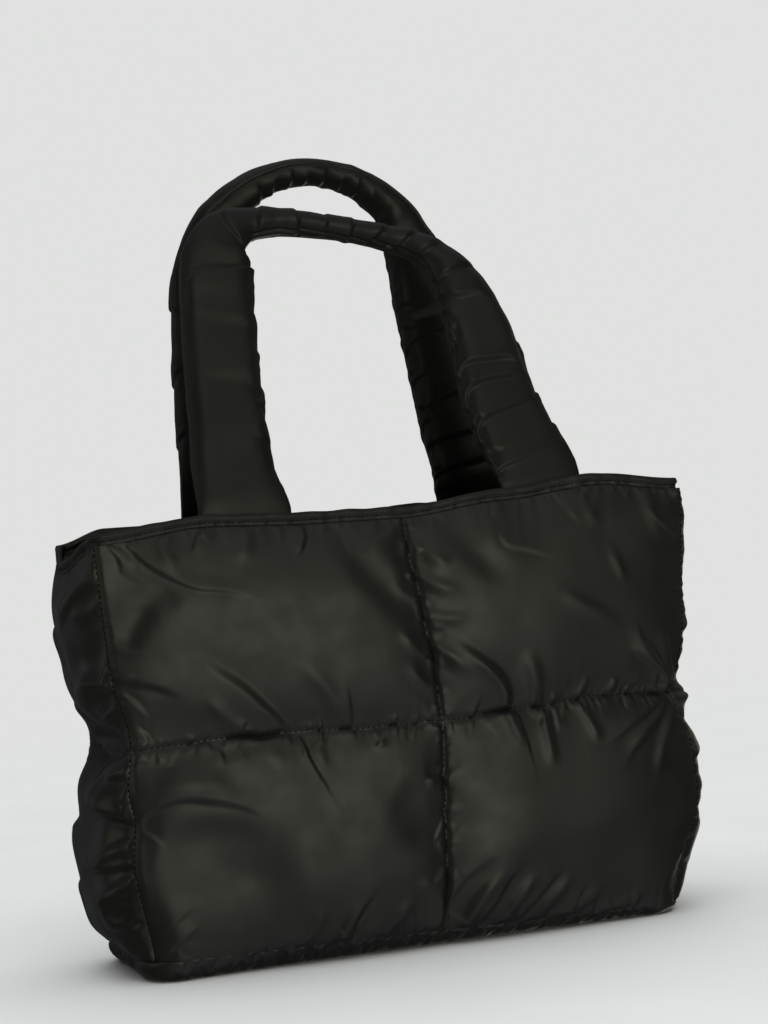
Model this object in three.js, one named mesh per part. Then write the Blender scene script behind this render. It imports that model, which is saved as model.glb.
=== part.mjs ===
// Quilted padded tote bag: two quilted faces, two gathered gussets, a flat base,
// a topstitched hem round the mouth and two padded handles with folded grips.
// Millimetres, +Z up. The front face looks along -Y, and +X is to the right as it is seen.
// The origin lies on the floor under the middle of the base.
import * as THREE from "three";

// Overall sizes
const HEIGHT = 304; // floor to the top of the hem
const RIM_WIDTH = 430;
const BASE_WIDTH = 394;
const RIM_DEPTH = 118;
const BASE_DEPTH = 124;

// Seams
const BASE_SEAM = 12; // height of the seam between base and walls
const BASE_SEAM_TILT = 4; // that seam is this much higher at the left end, lower at the right
const QUILT_LINE = 160; // height of the quilting seam across the faces and gussets
const SEAM_THICK = 3; // padded cloth where it is sewn flat
const GAP = 0.3; // clearance between sewn pieces
const MITRE_INSET = 0.2; // each of two panels that meet in a corner seam stands back by this

// Hem
const HEM_HEIGHT = 8;
const HEM_THICK = 3.6;
const HEM_CORNER = 7; // radius of the hem's corners, seen from above
const HEM_SQUARENESS = 3; // of its section: 2 is an ellipse, higher is squarer

// Padding
const FACE_PUFF = 17; // how far a quilted cell swells from its seams
const LEFT_PUFF = { upper: 14, lower: 20 };
const RIGHT_PUFF = { upper: 15, lower: 26 };
const GUSSET_SAG = 0.3; // the fill of a gusset's lower cell lies this share of its half height lower
const PUFF_POWER = 3; // higher is flatter in the middle of a cell
const PUFF_EDGE = { face: 0.7, gusset: 0.5 }; // lower is steeper at the seams
const FACE_BOW = 5; // the whole face bows out by this at mid height

// How the soft walls pull in
const WAIST = { depth: 8, spread: 26 }; // side seams pulled in at the quilting seam
const GUSSET_TUCK = { depth: 13, spread: 20 }; // gusset drawn inwards along its quilting seam
const GUSSET_RIM = { bow: 9, droop: 9, from: 0.7 }; // its top, from this share up, bows out and droops

// The faces' upright seam wanders off the middle; up runs from 0 at the base to 1 at the hem
const UPRIGHT_SWAY = [
  { up: 0, shift: 9 },
  { up: 0.5, shift: 13 },
  { up: 1, shift: 0 },
];

// Rise and fall of the hem along the front face
const RIM_SWAY = [
  { x: -215, rise: -8 },
  { x: -140, rise: 0 },
  { x: -70, rise: -2 },
  { x: 0, rise: -2 },
  { x: 75, rise: 6 },
  { x: 150, rise: 13 },
  { x: 215, rise: 7 },
];
const BACK_SWAY_SHARE = 0.4; // the back hem lies straighter

// Folds in the front face: across runs from -1 to 1 left to right, up from 0 at the base to 1 at the hem
const FRONT_FOLDS = [
  { across: -0.93, up: 0.97, toAcross: -0.4, toUp: 0.79, width: 15, rise: -5 },
  { across: -0.73, up: 0.76, toAcross: -0.46, toUp: 0.54, width: 14, rise: 3.5 },
  { across: -0.98, up: 0.33, toAcross: -0.55, toUp: 0.34, width: 15, rise: -5 },
  { across: 0.03, up: 0.72, toAcross: 0.31, toUp: 0.55, width: 14, rise: 3.5 },
  { across: 0.1, up: 0.96, toAcross: 0.55, toUp: 0.85, width: 16, rise: -3 },
  { across: 0.94, up: 0.49, toAcross: 0.68, toUp: 0.39, width: 15, rise: -4.5 },
  { across: 0.05, up: 0.05, toAcross: 0.2, toUp: 0.18, width: 13, rise: -4 },
  { across: 0.23, up: 0.05, toAcross: 0.35, toUp: 0.18, width: 13, rise: -4 },
];
const BACK_FOLDS = [
  { across: -0.9, up: 0.95, toAcross: -0.5, toUp: 0.8, width: 15, rise: -4 },
  { across: 0.95, up: 0.36, toAcross: 0.6, toUp: 0.3, width: 15, rise: -4 },
  { across: 0.05, up: 0.7, toAcross: 0.3, toUp: 0.56, width: 14, rise: 3 },
  { across: -0.3, up: 0.06, toAcross: -0.15, toUp: 0.18, width: 13, rise: -4 },
];
// Folds that run from a gusset's corner seams: across from -1 at the front to 1 at the back
const GUSSET_FOLDS = [
  { across: -1, up: 0.86, toAcross: 0.5, toUp: 0.83, width: 11, rise: -5 },
  { across: -1, up: 0.4, toAcross: 0.1, toUp: 0.32, width: 11, rise: -5 },
  { across: -1, up: 0.22, toAcross: 0, toUp: 0.16, width: 11, rise: -4 },
  { across: 1, up: 0.66, toAcross: 0.2, toUp: 0.6, width: 11, rise: -4 },
];
const FOLD_FADE = 0.6; // a fold loses this share of its rise along its length
const GATHER = { pitch: 37, rise: 1.6, reach: 22 }; // soft scallops along every seam

// Base
const BASE_ROUND = 12; // width of the rounded border between seam and floor
const BASE_BULGE = { face: 3, gusset: 7 }; // how far that border stands out past the seam

// Handles: the centre line above the hem, with the strap's width in the handle's own plane and its
// thickness across that plane; the grip is the strap folded in half, so it is narrow and thick
const FRONT_HANDLE = {
  lean: 0.25, // set back for each millimetre of rise
  stations: [
    { x: -110, up: -20, width: 62, thick: 5 },
    { x: -110, up: 1, width: 65, thick: 6 },
    { x: -113, up: 28, width: 58, thick: 15 },
    { x: -112, up: 70, width: 54, thick: 17 },
    { x: -110, up: 115, width: 54, thick: 17 },
    { x: -107, up: 152, width: 53, thick: 17 },
    { x: -100, up: 182, width: 42, thick: 21 },
    { x: -80, up: 201, width: 27, thick: 25 },
    { x: -52, up: 206, width: 21, thick: 26 },
    { x: -18, up: 203, width: 19, thick: 26 },
    { x: 18, up: 195, width: 20, thick: 26 },
    { x: 48, up: 182, width: 26, thick: 25 },
    { x: 69, up: 160, width: 37, thick: 21 },
    { x: 78, up: 132, width: 46, thick: 17 },
    { x: 86, up: 100, width: 56, thick: 17 },
    { x: 90, up: 66, width: 59, thick: 17 },
    { x: 99, up: 35, width: 60, thick: 15 },
    { x: 108, up: 8, width: 64, thick: 6 },
    { x: 110, up: -18, width: 62, thick: 5 },
  ],
};
const BACK_HANDLE = {
  lean: 0,
  stations: [
    { x: -94, up: -20, width: 60, thick: 5 },
    { x: -94, up: 1, width: 62, thick: 6 },
    { x: -95, up: 30, width: 60, thick: 15 },
    { x: -96, up: 80, width: 60, thick: 17 },
    { x: -96, up: 130, width: 59, thick: 17 },
    { x: -95, up: 172, width: 53, thick: 18 },
    { x: -88, up: 207, width: 38, thick: 22 },
    { x: -65, up: 234, width: 24, thick: 25 },
    { x: -37, up: 246, width: 20, thick: 26 },
    { x: -6, up: 248, width: 19, thick: 26 },
    { x: 24, up: 238, width: 21, thick: 26 },
    { x: 49, up: 217, width: 28, thick: 24 },
    { x: 63, up: 188, width: 42, thick: 20 },
    { x: 73, up: 152, width: 53, thick: 17 },
    { x: 83, up: 108, width: 59, thick: 17 },
    { x: 92, up: 60, width: 61, thick: 16 },
    { x: 101, up: 25, width: 62, thick: 14 },
    { x: 104, up: 3, width: 62, thick: 6 },
    { x: 105, up: -18, width: 60, thick: 5 },
  ],
};

// Mesh density
const FACE_STEPS = { across: 32, up: 26 };
const GUSSET_STEPS = { across: 10, up: 26 };
const BASE_STEPS = { across: 20, along: 8, border: 3 };
const HEM_STEPS = { gusset: 8, corner: 2, section: 8 };
const HANDLE_STEPS = { along: 40, round: 14 };

// Finishes
const NYLON = { color: 0x1b1c19, roughness: 0.45, metalness: 0 };
const HEM_NYLON = { color: 0x171815, roughness: 0.5, metalness: 0 };
const BASE_NYLON = { color: 0x181916, roughness: 0.5, metalness: 0 };
const HANDLE_NYLON = { color: 0x191a17, roughness: 0.45, metalness: 0 };

// Curves and profiles

const { lerp, clamp, smoothstep } = THREE.MathUtils;
const bell = (distance, spread) => Math.exp(-((distance / spread) ** 2));
const arch = (t) => 1 - t * t;
const softArch = (t) => arch(t) ** 2; // level at both ends

// A smooth value read from a table's rows, keyed by one column.
function tableValue(rows, key, column, at) {
  const last = rows.length - 1;
  const next = rows.findIndex((row) => row[key] > at);
  if (next === 0) return rows[0][column];
  if (next < 0) return rows[last][column];
  const [a, b] = [rows[next - 1], rows[next]];
  return lerp(a[column], b[column], smoothstep(at, a[key], b[key]));
}

// Swell of one quilted cell, with both coordinates from -1 to 1 between its seams.
function pillow(a, b, edge) {
  const side = (t) => Math.max(0, 1 - Math.abs(t) ** PUFF_POWER) ** edge;
  return side(a) * side(b);
}

// Height of a fold's relief at a point of a panel, all in millimetres on that panel.
function foldRelief(fold, size, point) {
  const start = new THREE.Vector2(fold.across, fold.up).multiply(size);
  const end = new THREE.Vector2(fold.toAcross, fold.toUp).multiply(size);
  const along = end.clone().sub(start);
  const share = clamp(point.clone().sub(start).dot(along) / along.lengthSq(), 0, 1);
  const distance = point.distanceTo(start.clone().addScaledVector(along, share));
  return fold.rise * bell(distance, fold.width) * (1 - FOLD_FADE * share);
}

const foldsRelief = (folds, size, point) =>
  folds.reduce((sum, fold) => sum + foldRelief(fold, size, point), 0);

// Scallops that gather the cloth beside a seam.
const gatherRelief = (along, fromSeam) =>
  GATHER.rise * Math.cos((2 * Math.PI * along) / GATHER.pitch) * bell(fromSeam, GATHER.reach);

// The bag's outline

const heightShare = (z) => (z - BASE_SEAM) / (HEIGHT - BASE_SEAM);
const halfDepth = (z) => lerp(BASE_DEPTH, RIM_DEPTH, heightShare(z)) / 2;
const halfWidth = (z) =>
  lerp(BASE_WIDTH, RIM_WIDTH, heightShare(z)) / 2 - WAIST.depth * bell(z - QUILT_LINE, WAIST.spread);

const baseSeam = (x) => BASE_SEAM - (BASE_SEAM_TILT * x) / (BASE_WIDTH / 2);
const hemRise = (x, side) =>
  tableValue(RIM_SWAY, "x", "rise", x) * (side < 0 ? 1 : BACK_SWAY_SHARE);

// Seam under the hem at a face; side is -1 for the front and 1 for the back.
const faceTop = (x, side) => HEIGHT - HEM_HEIGHT + hemRise(x, side);

// The same seam along a gusset; side is -1 for the left and 1 for the right, t runs front to back.
function gussetTop(side, t) {
  const x = (side * RIM_WIDTH) / 2;
  return lerp(faceTop(x, -1), faceTop(x, 1), (t + 1) / 2) - GUSSET_RIM.droop * softArch(t);
}

// Building closed solids

const newMesh = (name, geometry, finish) => {
  const mesh = new THREE.Mesh(geometry, new THREE.MeshStandardMaterial(finish));
  mesh.name = name;
  return mesh;
};

// A closed surface from points and triangles, turned so that its faces point out.
function closedGeometry(points, triangles) {
  const volume = triangles.reduce((sum, [a, b, c]) => {
    const turned = points[b].clone().cross(points[c]);
    return sum + points[a].dot(turned);
  }, 0);
  const outward = volume > 0 ? triangles : triangles.map(([a, b, c]) => [a, c, b]);
  const geometry = new THREE.BufferGeometry().setFromPoints(points);
  geometry.setIndex(outward.flat());
  geometry.computeVertexNormals();
  return geometry;
}

// Positions across a run of cells with the given bounds, closer together beside each cell's seams.
function cellSteps(bounds, steps) {
  const perCell = steps / (bounds.length - 1);
  const at = [bounds[0]];
  for (let cell = 1; cell < bounds.length; cell++) {
    for (let i = 1; i <= perCell; i++) {
      const even = i / perCell;
      const crowded = (1 - Math.cos(Math.PI * even)) / 2;
      at.push(lerp(bounds[cell - 1], bounds[cell], (even + crowded) / 2));
    }
  }
  return at;
}

// A padded panel: an outer and an inner sheet over the same grid, joined round the border.
// A flat inner sheet has points on its border only, and plain rungs between its two sides.
function paddedPanel(columns, rows, outerAt, innerAt, isFlatInside) {
  const points = [];
  const triangles = [];
  const [lastRow, lastColumn] = [rows.length - 1, columns.length - 1];
  const quad = (a, b, c, d) => triangles.push([a, b, c], [a, c, d]);
  const sheet = (pointAt, isNeeded) =>
    rows.map((row, r) =>
      columns.map((column, c) => (isNeeded(r, c) ? points.push(pointAt(column, row)) - 1 : null)),
    );
  const fill = (grid, turned) => {
    for (let r = 1; r <= lastRow; r++) {
      for (let c = 1; c <= lastColumn; c++) {
        const ring = [grid[r - 1][c - 1], grid[r - 1][c], grid[r][c], grid[r][c - 1]];
        quad(...(turned ? ring.toReversed() : ring));
      }
    }
  };
  // From a border row of many points to the two side points of the row beside it.
  const fan = (many, [left, right], turned) => {
    const middle = many.length >> 1;
    const add = (a, b, c) => triangles.push(turned ? [a, c, b] : [a, b, c]);
    for (let c = 1; c < many.length; c++) add(many[c], many[c - 1], c <= middle ? left : right);
    add(many[middle], left, right);
  };
  const ladder = (grid) => {
    const sides = grid.map((row) => [row[0], row[lastColumn]]);
    fan(grid[0], sides[1], false);
    for (let r = 2; r < lastRow; r++) {
      quad(sides[r - 1][1], sides[r - 1][0], sides[r][0], sides[r][1]);
    }
    fan(grid[lastRow], sides[lastRow - 1], true);
  };

  const isBorder = (r, c) => r === 0 || c === 0 || r === lastRow || c === lastColumn;
  const outer = sheet(outerAt, () => true);
  const inner = sheet(innerAt, isFlatInside ? isBorder : () => true);
  fill(outer, false);
  if (isFlatInside) ladder(inner);
  else fill(inner, true);

  const border = (grid) => [
    ...grid[0],
    ...grid.slice(1, -1).map((row) => row[lastColumn]),
    ...grid[lastRow].toReversed(),
    ...grid.slice(1, -1).map((row) => row[0]).toReversed(),
  ];
  const outerBorder = border(outer);
  const innerBorder = border(inner);
  outerBorder.forEach((corner, i) => {
    const next = (i + 1) % outerBorder.length;
    quad(corner, innerBorder[i], innerBorder[next], outerBorder[next]);
  });
  return closedGeometry(points, triangles);
}

// A skin through rings of equal count, closed by end caps or by joining the last ring to the first.
function loft(rings, isLoop) {
  const sides = rings[0].length;
  const points = rings.flat();
  const triangles = [];
  const joined = isLoop ? rings.length : rings.length - 1;
  for (let r = 0; r < joined; r++) {
    const next = (r + 1) % rings.length;
    for (let s = 0; s < sides; s++) {
      const [a, b] = [r * sides + s, r * sides + ((s + 1) % sides)];
      const [c, d] = [next * sides + ((s + 1) % sides), next * sides + s];
      triangles.push([a, b, c], [a, c, d]);
    }
  }
  if (!isLoop) {
    const cap = (ring, turned) => {
      const middle = new THREE.Vector3();
      rings[ring].forEach((point) => middle.addScaledVector(point, 1 / sides));
      const centre = points.push(middle) - 1;
      for (let s = 0; s < sides; s++) {
        const [a, b] = [ring * sides + s, ring * sides + ((s + 1) % sides)];
        triangles.push(turned ? [centre, b, a] : [centre, a, b]);
      }
    };
    cap(0, true);
    cap(rings.length - 1, false);
  }
  return closedGeometry(points, triangles);
}

// The quilted cells, upper and lower, of every wall

const QUILT_SHARE = heightShare(QUILT_LINE);

// Which cell a height share lies in, and its place there from -1 at the cell's foot to 1 at its head.
function cellAt(v) {
  const isUpper = v > QUILT_SHARE;
  const share = isUpper ? (v - QUILT_SHARE) / (1 - QUILT_SHARE) : v / QUILT_SHARE;
  return { isUpper, place: lerp(-1, 1, share) };
}

// Front and back faces: one cloth, quilted into two by two cells

function facePanel(side, folds) {
  const columns = cellSteps([-1, 0, 1], FACE_STEPS.across);
  const rows = cellSteps([0, QUILT_SHARE, 1], FACE_STEPS.up);
  const size = new THREE.Vector2(RIM_WIDTH / 2, HEIGHT - BASE_SEAM);

  // One layer of the cloth, 1 for the inner and -1 for the outer, before it is padded.
  const sheetAt = (u, v, layer) => {
    const inset = (layer * SEAM_THICK) / 2;
    const shift = (up) => tableValue(UPRIGHT_SWAY, "up", "shift", up) * arch(u);
    const across = (z, up) => u * (halfWidth(z) - inset - MITRE_INSET) + shift(up);
    const bottom = baseSeam(across(BASE_SEAM, 0)) + inset + MITRE_INSET;
    const top = faceTop(across(HEIGHT, 1), side);
    const z = lerp(bottom, top, v);
    return new THREE.Vector3(across(z, v), side * (halfDepth(z) - inset), z);
  };

  const relief = (u, v) => {
    const swell = pillow(2 * Math.abs(u) - 1, cellAt(v).place, PUFF_EDGE.face);
    const point = new THREE.Vector2(u, v).multiply(size);
    const fromUpright = Math.min(Math.abs(u), 1 - Math.abs(u)) * size.x;
    const fromLevel = Math.abs(v - QUILT_SHARE) * size.y;
    const gathers = gatherRelief(point.x, fromLevel) + gatherRelief(point.y, fromUpright);
    const soft = Math.sqrt(swell);
    return FACE_PUFF * swell + soft * (foldsRelief(folds, size, point) + gathers);
  };

  const outerAt = (u, v) => {
    const point = sheetAt(u, v, -1);
    point.y += side * (relief(u, v) + FACE_BOW * arch(u) * Math.sin(Math.PI * v));
    return point;
  };
  return paddedPanel(columns, rows, outerAt, (u, v) => sheetAt(u, v, 1), true);
}

// Gussets: two cells each, drawn inwards along the quilting seam

function gussetPanel(side, puff) {
  const columns = cellSteps([-1, 1], GUSSET_STEPS.across);
  const rows = cellSteps([0, QUILT_SHARE, 1], GUSSET_STEPS.up);
  const size = new THREE.Vector2(BASE_DEPTH / 2, HEIGHT - BASE_SEAM);

  const sheetAt = (t, v, layer) => {
    const bottom = baseSeam((side * BASE_WIDTH) / 2) + (layer * SEAM_THICK) / 2 + MITRE_INSET;
    const z = lerp(bottom, gussetTop(side, t), v);
    const halfSpan = halfDepth(z) - (layer * SEAM_THICK) / 2 - MITRE_INSET;
    const tuck = GUSSET_TUCK.depth * bell(z - QUILT_LINE, GUSSET_TUCK.spread);
    const bow = GUSSET_RIM.bow * smoothstep(v, GUSSET_RIM.from, 1);
    const out = halfWidth(z) - (layer * SEAM_THICK) / 2 + (bow - tuck) * softArch(t);
    return new THREE.Vector3(side * out, t * halfSpan, z);
  };

  const relief = (t, v) => {
    const { isUpper, place } = cellAt(v);
    const sag = isUpper ? 0 : GUSSET_SAG * arch(place);
    const swell = pillow(t, place + sag, PUFF_EDGE.gusset);
    const point = new THREE.Vector2(t, v).multiply(size);
    const gathers = gatherRelief(point.y, (1 - Math.abs(t)) * size.x);
    const height = isUpper ? puff.upper : puff.lower;
    return height * swell + Math.sqrt(swell) * (foldsRelief(GUSSET_FOLDS, size, point) + gathers);
  };

  const outerAt = (t, v) => {
    const point = sheetAt(t, v, -1);
    point.x += side * relief(t, v);
    return point;
  };
  return paddedPanel(columns, rows, outerAt, (t, v) => sheetAt(t, v, 1), false);
}

// Base: flat where it stands, with a rounded border up to the seam

function basePanel() {
  const halfSpanX = BASE_WIDTH / 2 + SEAM_THICK / 2 - MITRE_INSET;
  const halfSpanY = BASE_DEPTH / 2 + SEAM_THICK / 2 - MITRE_INSET;
  const borderSteps = (halfSpan, steps) => {
    const border = [];
    for (let i = 0; i <= BASE_STEPS.border; i++) {
      border.push(-1 + ((i / BASE_STEPS.border) * BASE_ROUND) / halfSpan);
    }
    const flatEnd = border.at(-1);
    const flat = [];
    for (let i = 1; i < steps; i++) flat.push(lerp(flatEnd, -flatEnd, i / steps));
    return [...border, ...flat, ...border.toReversed().map((t) => -t)];
  };
  const columns = borderSteps(halfSpanX, BASE_STEPS.across);
  const rows = borderSteps(halfSpanY, BASE_STEPS.along);

  const fromEdge = (t, halfSpan) => clamp(((1 - Math.abs(t)) * halfSpan) / BASE_ROUND, 0, 1);
  const outerAt = (u, t) => {
    const inX = fromEdge(u, halfSpanX);
    const inY = fromEdge(t, halfSpanY);
    const x = u * halfSpanX;
    const seam = baseSeam(x) - SEAM_THICK / 2;
    const inwards = 1 - (1 - inX) * (1 - inX) - (1 - inY) * (1 - inY);
    const z = seam * (1 - Math.sqrt(clamp(inwards, 0, 1)));
    const bulgeX = Math.sign(u) * BASE_BULGE.gusset * Math.sin(Math.PI * inX) * Math.sqrt(inY);
    const bulgeY = Math.sign(t) * BASE_BULGE.face * Math.sin(Math.PI * inY) * Math.sqrt(inX);
    return new THREE.Vector3(x + bulgeX, t * halfSpanY + bulgeY, z);
  };
  const innerAt = (u, t) => {
    const x = u * (halfSpanX - SEAM_THICK);
    return new THREE.Vector3(x, t * (halfSpanY - SEAM_THICK), baseSeam(x) + SEAM_THICK / 2);
  };
  return paddedPanel(columns, rows, outerAt, innerAt, true);
}

// Hem: a flat tube of folded cloth round the mouth

function hemPath() {
  const path = [];
  const corner = HEM_CORNER;
  const [spanX, spanY] = [RIM_WIDTH / 2, RIM_DEPTH / 2];
  const add = (x, y, z, out) => path.push({ at: new THREE.Vector3(x, y, z), out });
  const face = (side) => {
    for (const u of cellSteps([-1, 0, 1], FACE_STEPS.across)) {
      const x = -side * u * (spanX + SEAM_THICK / 2 - MITRE_INSET);
      if (Math.abs(x) < spanX - corner) add(x, side * spanY, faceTop(x, side), new THREE.Vector2(0, side));
    }
  };
  const bow = (y) => GUSSET_RIM.bow * softArch(y / spanY);
  const turn = (sideX, sideY, fromFace) => {
    for (let i = 0; i <= HEM_STEPS.corner; i++) {
      const share = i / HEM_STEPS.corner;
      const angle = ((fromFace ? share : 1 - share) * Math.PI) / 2;
      const out = new THREE.Vector2(sideX * Math.sin(angle), sideY * Math.cos(angle));
      const y = sideY * (spanY - corner) + corner * out.y;
      const x = sideX * (spanX - corner + bow(y)) + corner * out.x;
      const seam = Math.max(faceTop(x, sideY), gussetTop(sideX, y / spanY));
      add(x, y, seam, out);
    }
  };
  const gusset = (side) => {
    for (let i = 1; i < HEM_STEPS.gusset; i++) {
      const y = side * lerp(-1, 1, i / HEM_STEPS.gusset) * (spanY - corner);
      add(side * (spanX + bow(y)), y, gussetTop(side, y / spanY), new THREE.Vector2(side, 0));
    }
  };
  face(-1);
  turn(1, -1, true);
  gusset(1);
  turn(1, 1, false);
  face(1);
  turn(-1, 1, true);
  gusset(-1);
  turn(-1, -1, false);
  return path;
}

function hemRing() {
  const power = HEM_SQUARENESS;
  const rings = hemPath().map(({ at, out }) => {
    const ring = [];
    for (let s = 0; s < HEM_STEPS.section; s++) {
      const angle = ((s + 0.5) / HEM_STEPS.section) * 2 * Math.PI;
      const [c, d] = [Math.cos(angle), Math.sin(angle)];
      const reach = (Math.abs(c) ** power + Math.abs(d) ** power) ** (-1 / power);
      const outwards = (reach * c * HEM_THICK) / 2;
      const upwards = GAP + (HEM_HEIGHT - GAP) * (0.5 + (reach * d) / 2);
      ring.push(new THREE.Vector3(at.x + out.x * outwards, at.y + out.y * outwards, at.z + upwards));
    }
    return ring;
  });
  return loft(rings, true);
}

// Handles: padded straps sewn inside the hem, folded lengthwise at the grip

function handleStrap(handle, side) {
  const seat = RIM_DEPTH / 2 - HEM_THICK / 2 - GAP;
  const centres = handle.stations.map(({ x, up, thick }) => {
    const sewn = seat - thick / 2;
    const setBack = handle.lean * Math.max(0, up);
    return new THREE.Vector3(x, side * (sewn - setBack), HEIGHT + hemRise(x, side) + up);
  });
  const curve = new THREE.CatmullRomCurve3(centres, false, "centripetal");
  const across = new THREE.Vector3(0, 1, side * handle.lean).normalize();
  const last = handle.stations.length - 1;
  const rings = [];
  for (let i = 0; i <= HANDLE_STEPS.along; i++) {
    const t = i / HANDLE_STEPS.along;
    const index = Math.min(Math.floor(t * last), last - 1);
    const share = t * last - index;
    const [a, b] = [handle.stations[index], handle.stations[index + 1]];
    const width = lerp(a.width, b.width, share);
    const thick = lerp(a.thick, b.thick, share);
    const centre = curve.getPoint(t);
    const tangent = curve.getTangent(t);
    const wide = new THREE.Vector3().crossVectors(across, tangent).normalize();
    const ring = [];
    for (let s = 0; s < HANDLE_STEPS.round; s++) {
      const angle = (s / HANDLE_STEPS.round) * 2 * Math.PI;
      const point = centre.clone();
      point.addScaledVector(wide, (width / 2) * Math.cos(angle));
      point.addScaledVector(across, (thick / 2) * Math.sin(angle));
      ring.push(point);
    }
    rings.push(ring);
  }
  return loft(rings, false);
}

const bag = new THREE.Group();
bag.add(
  newMesh("front_panel", facePanel(-1, FRONT_FOLDS), NYLON),
  newMesh("back_panel", facePanel(1, BACK_FOLDS), NYLON),
  newMesh("left_gusset", gussetPanel(-1, LEFT_PUFF), NYLON),
  newMesh("right_gusset", gussetPanel(1, RIGHT_PUFF), NYLON),
  newMesh("base_panel", basePanel(), BASE_NYLON),
  newMesh("rim_hem", hemRing(), HEM_NYLON),
  newMesh("front_handle", handleStrap(FRONT_HANDLE, -1), HANDLE_NYLON),
  newMesh("back_handle", handleStrap(BACK_HANDLE, 1), HANDLE_NYLON),
);

export default bag;
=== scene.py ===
import math
from collections import namedtuple

import bpy
import numpy as np
from bpy.props import FloatProperty, FloatVectorProperty, PointerProperty
from mathutils import Matrix, Vector


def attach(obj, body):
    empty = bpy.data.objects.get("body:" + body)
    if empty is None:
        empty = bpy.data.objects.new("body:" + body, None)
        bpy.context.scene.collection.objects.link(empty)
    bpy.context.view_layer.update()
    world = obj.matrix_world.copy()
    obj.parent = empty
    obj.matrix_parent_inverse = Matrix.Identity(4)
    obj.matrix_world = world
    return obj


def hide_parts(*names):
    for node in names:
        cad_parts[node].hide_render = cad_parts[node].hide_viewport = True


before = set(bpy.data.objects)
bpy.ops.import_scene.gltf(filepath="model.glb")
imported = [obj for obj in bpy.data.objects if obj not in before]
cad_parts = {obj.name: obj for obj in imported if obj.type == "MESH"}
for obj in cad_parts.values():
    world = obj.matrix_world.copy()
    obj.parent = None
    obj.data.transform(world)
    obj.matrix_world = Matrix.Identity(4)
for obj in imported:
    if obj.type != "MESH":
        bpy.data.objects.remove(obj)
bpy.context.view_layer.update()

bl_info = {
    "name": "Quilted tote bag",
    "version": (1, 0, 0),
    "blender": (4, 5, 0),
    "location": "View3D > Sidebar > Quilted tote",
    "description": "Sews a padded nylon tote bag with quilted faces and sets it on a pale stage",
    "category": "Add Mesh",
}

# The bag stands on the floor at the origin: the front face looks along -Y and +X is to its right.
MM = 0.001
FRONT, BACK = -1, 1
LEFT, RIGHT = -1, 1
OUTER, INNER = -1, 1

# Random draws of each piece
SEEDS = {
    "front_face": 3,
    "back_face": 8,
    "left_side_wall": 5,
    "right_side_wall": 6,
    "padded_base": 4,
    "mouth_hem": 7,
    "front_strap": 11,
    "back_strap": 12,
}

# How near a seam counts as on it, the least length to divide by, and from which angle an edge is sharp
ON_SEAM = 1e-6
TINY = 1e-9
SHARP_ANGLE = 70

# Seams and clearances that follow from the cloth
STRAP_GAP = 0.3 * MM
HEM_OVERLAP = 1.2 * MM
BASE_SEAM_TILT = 4 * MM
BASE_ROUND = 14 * MM
BASE_FREE = 3 * BASE_ROUND
BASE_CORNER = 26 * MM
CORNER_TOP = 75 * MM
BASE_BULGE = {"face": 4 * MM, "left": 7 * MM, "right": 4 * MM}

# How the soft walls pull in and bow out. Behind the right seam's pinch the gusset stands out in knots: how
# high they are, how far they spread up and down, how far from the seam they lie and how wide they are.
Pull = namedtuple("Pull", "depth spread")
WAIST = Pull(8 * MM, 26 * MM)
GUSSET_TUCK = Pull(16 * MM, 13 * MM)
GussetRim = namedtuple("GussetRim", "bow droop start")
GUSSET_RIM = GussetRim(9 * MM, 14 * MM, 0.7)
GUSSET_SAG = 0.3
RIGHT_BOW = 9 * MM
RIGHT_PINCH = Pull(4.5 * MM, 7 * MM)
LEFT_PINCH = Pull(4 * MM, 16 * MM)
LEFT_PINCH_HEIGHT = 106 * MM
FaceBow = namedtuple("FaceBow", "depth head_power foot_power")
FACE_BOW = FaceBow(12 * MM, 4, 8)
Knot = namedtuple("Knot", "height spread place width")
RIGHT_KNOT = Knot(20 * MM, 10 * MM, 14 * MM, 9 * MM)
GussetEdge = namedtuple("GussetEdge", "share reach")
GENTLE_EDGE, FULL_EDGE = GussetEdge(0.55, 26 * MM), GussetEdge(1.5, 32 * MM)
FLAT_REACH = 50 * MM
PUFF_POWER = 3
FACE_EDGE, GUSSET_EDGE = 0.7, 0.5
FULL_PUFF_PERCENT = 98

# The lining puffs inwards, but lies flat between these drops below the hem
LINING_PUFF = 2 * MM
LINING_FLAT = (60 * MM, 28 * MM)

# The faces' upright seam wanders off the middle, and the hem rises and falls along the front
Sway = namedtuple("Sway", "at shift")
UPRIGHT_SWAY = [Sway(0, 9 * MM), Sway(0.5, 13 * MM), Sway(1, 0)]
RIM_SWAY = [
    Sway(-215 * MM, -8 * MM),
    Sway(-140 * MM, 0),
    Sway(-70 * MM, -2 * MM),
    Sway(0, -2 * MM),
    Sway(75 * MM, 6 * MM),
    Sway(150 * MM, 13 * MM),
    Sway(215 * MM, 7 * MM),
]
BACK_RIM_SWAY = [
    Sway(-215 * MM, -13 * MM),
    Sway(-180 * MM, -3 * MM),
    Sway(0, -1 * MM),
    Sway(75 * MM, 2 * MM),
    Sway(215 * MM, 3 * MM),
]

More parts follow.
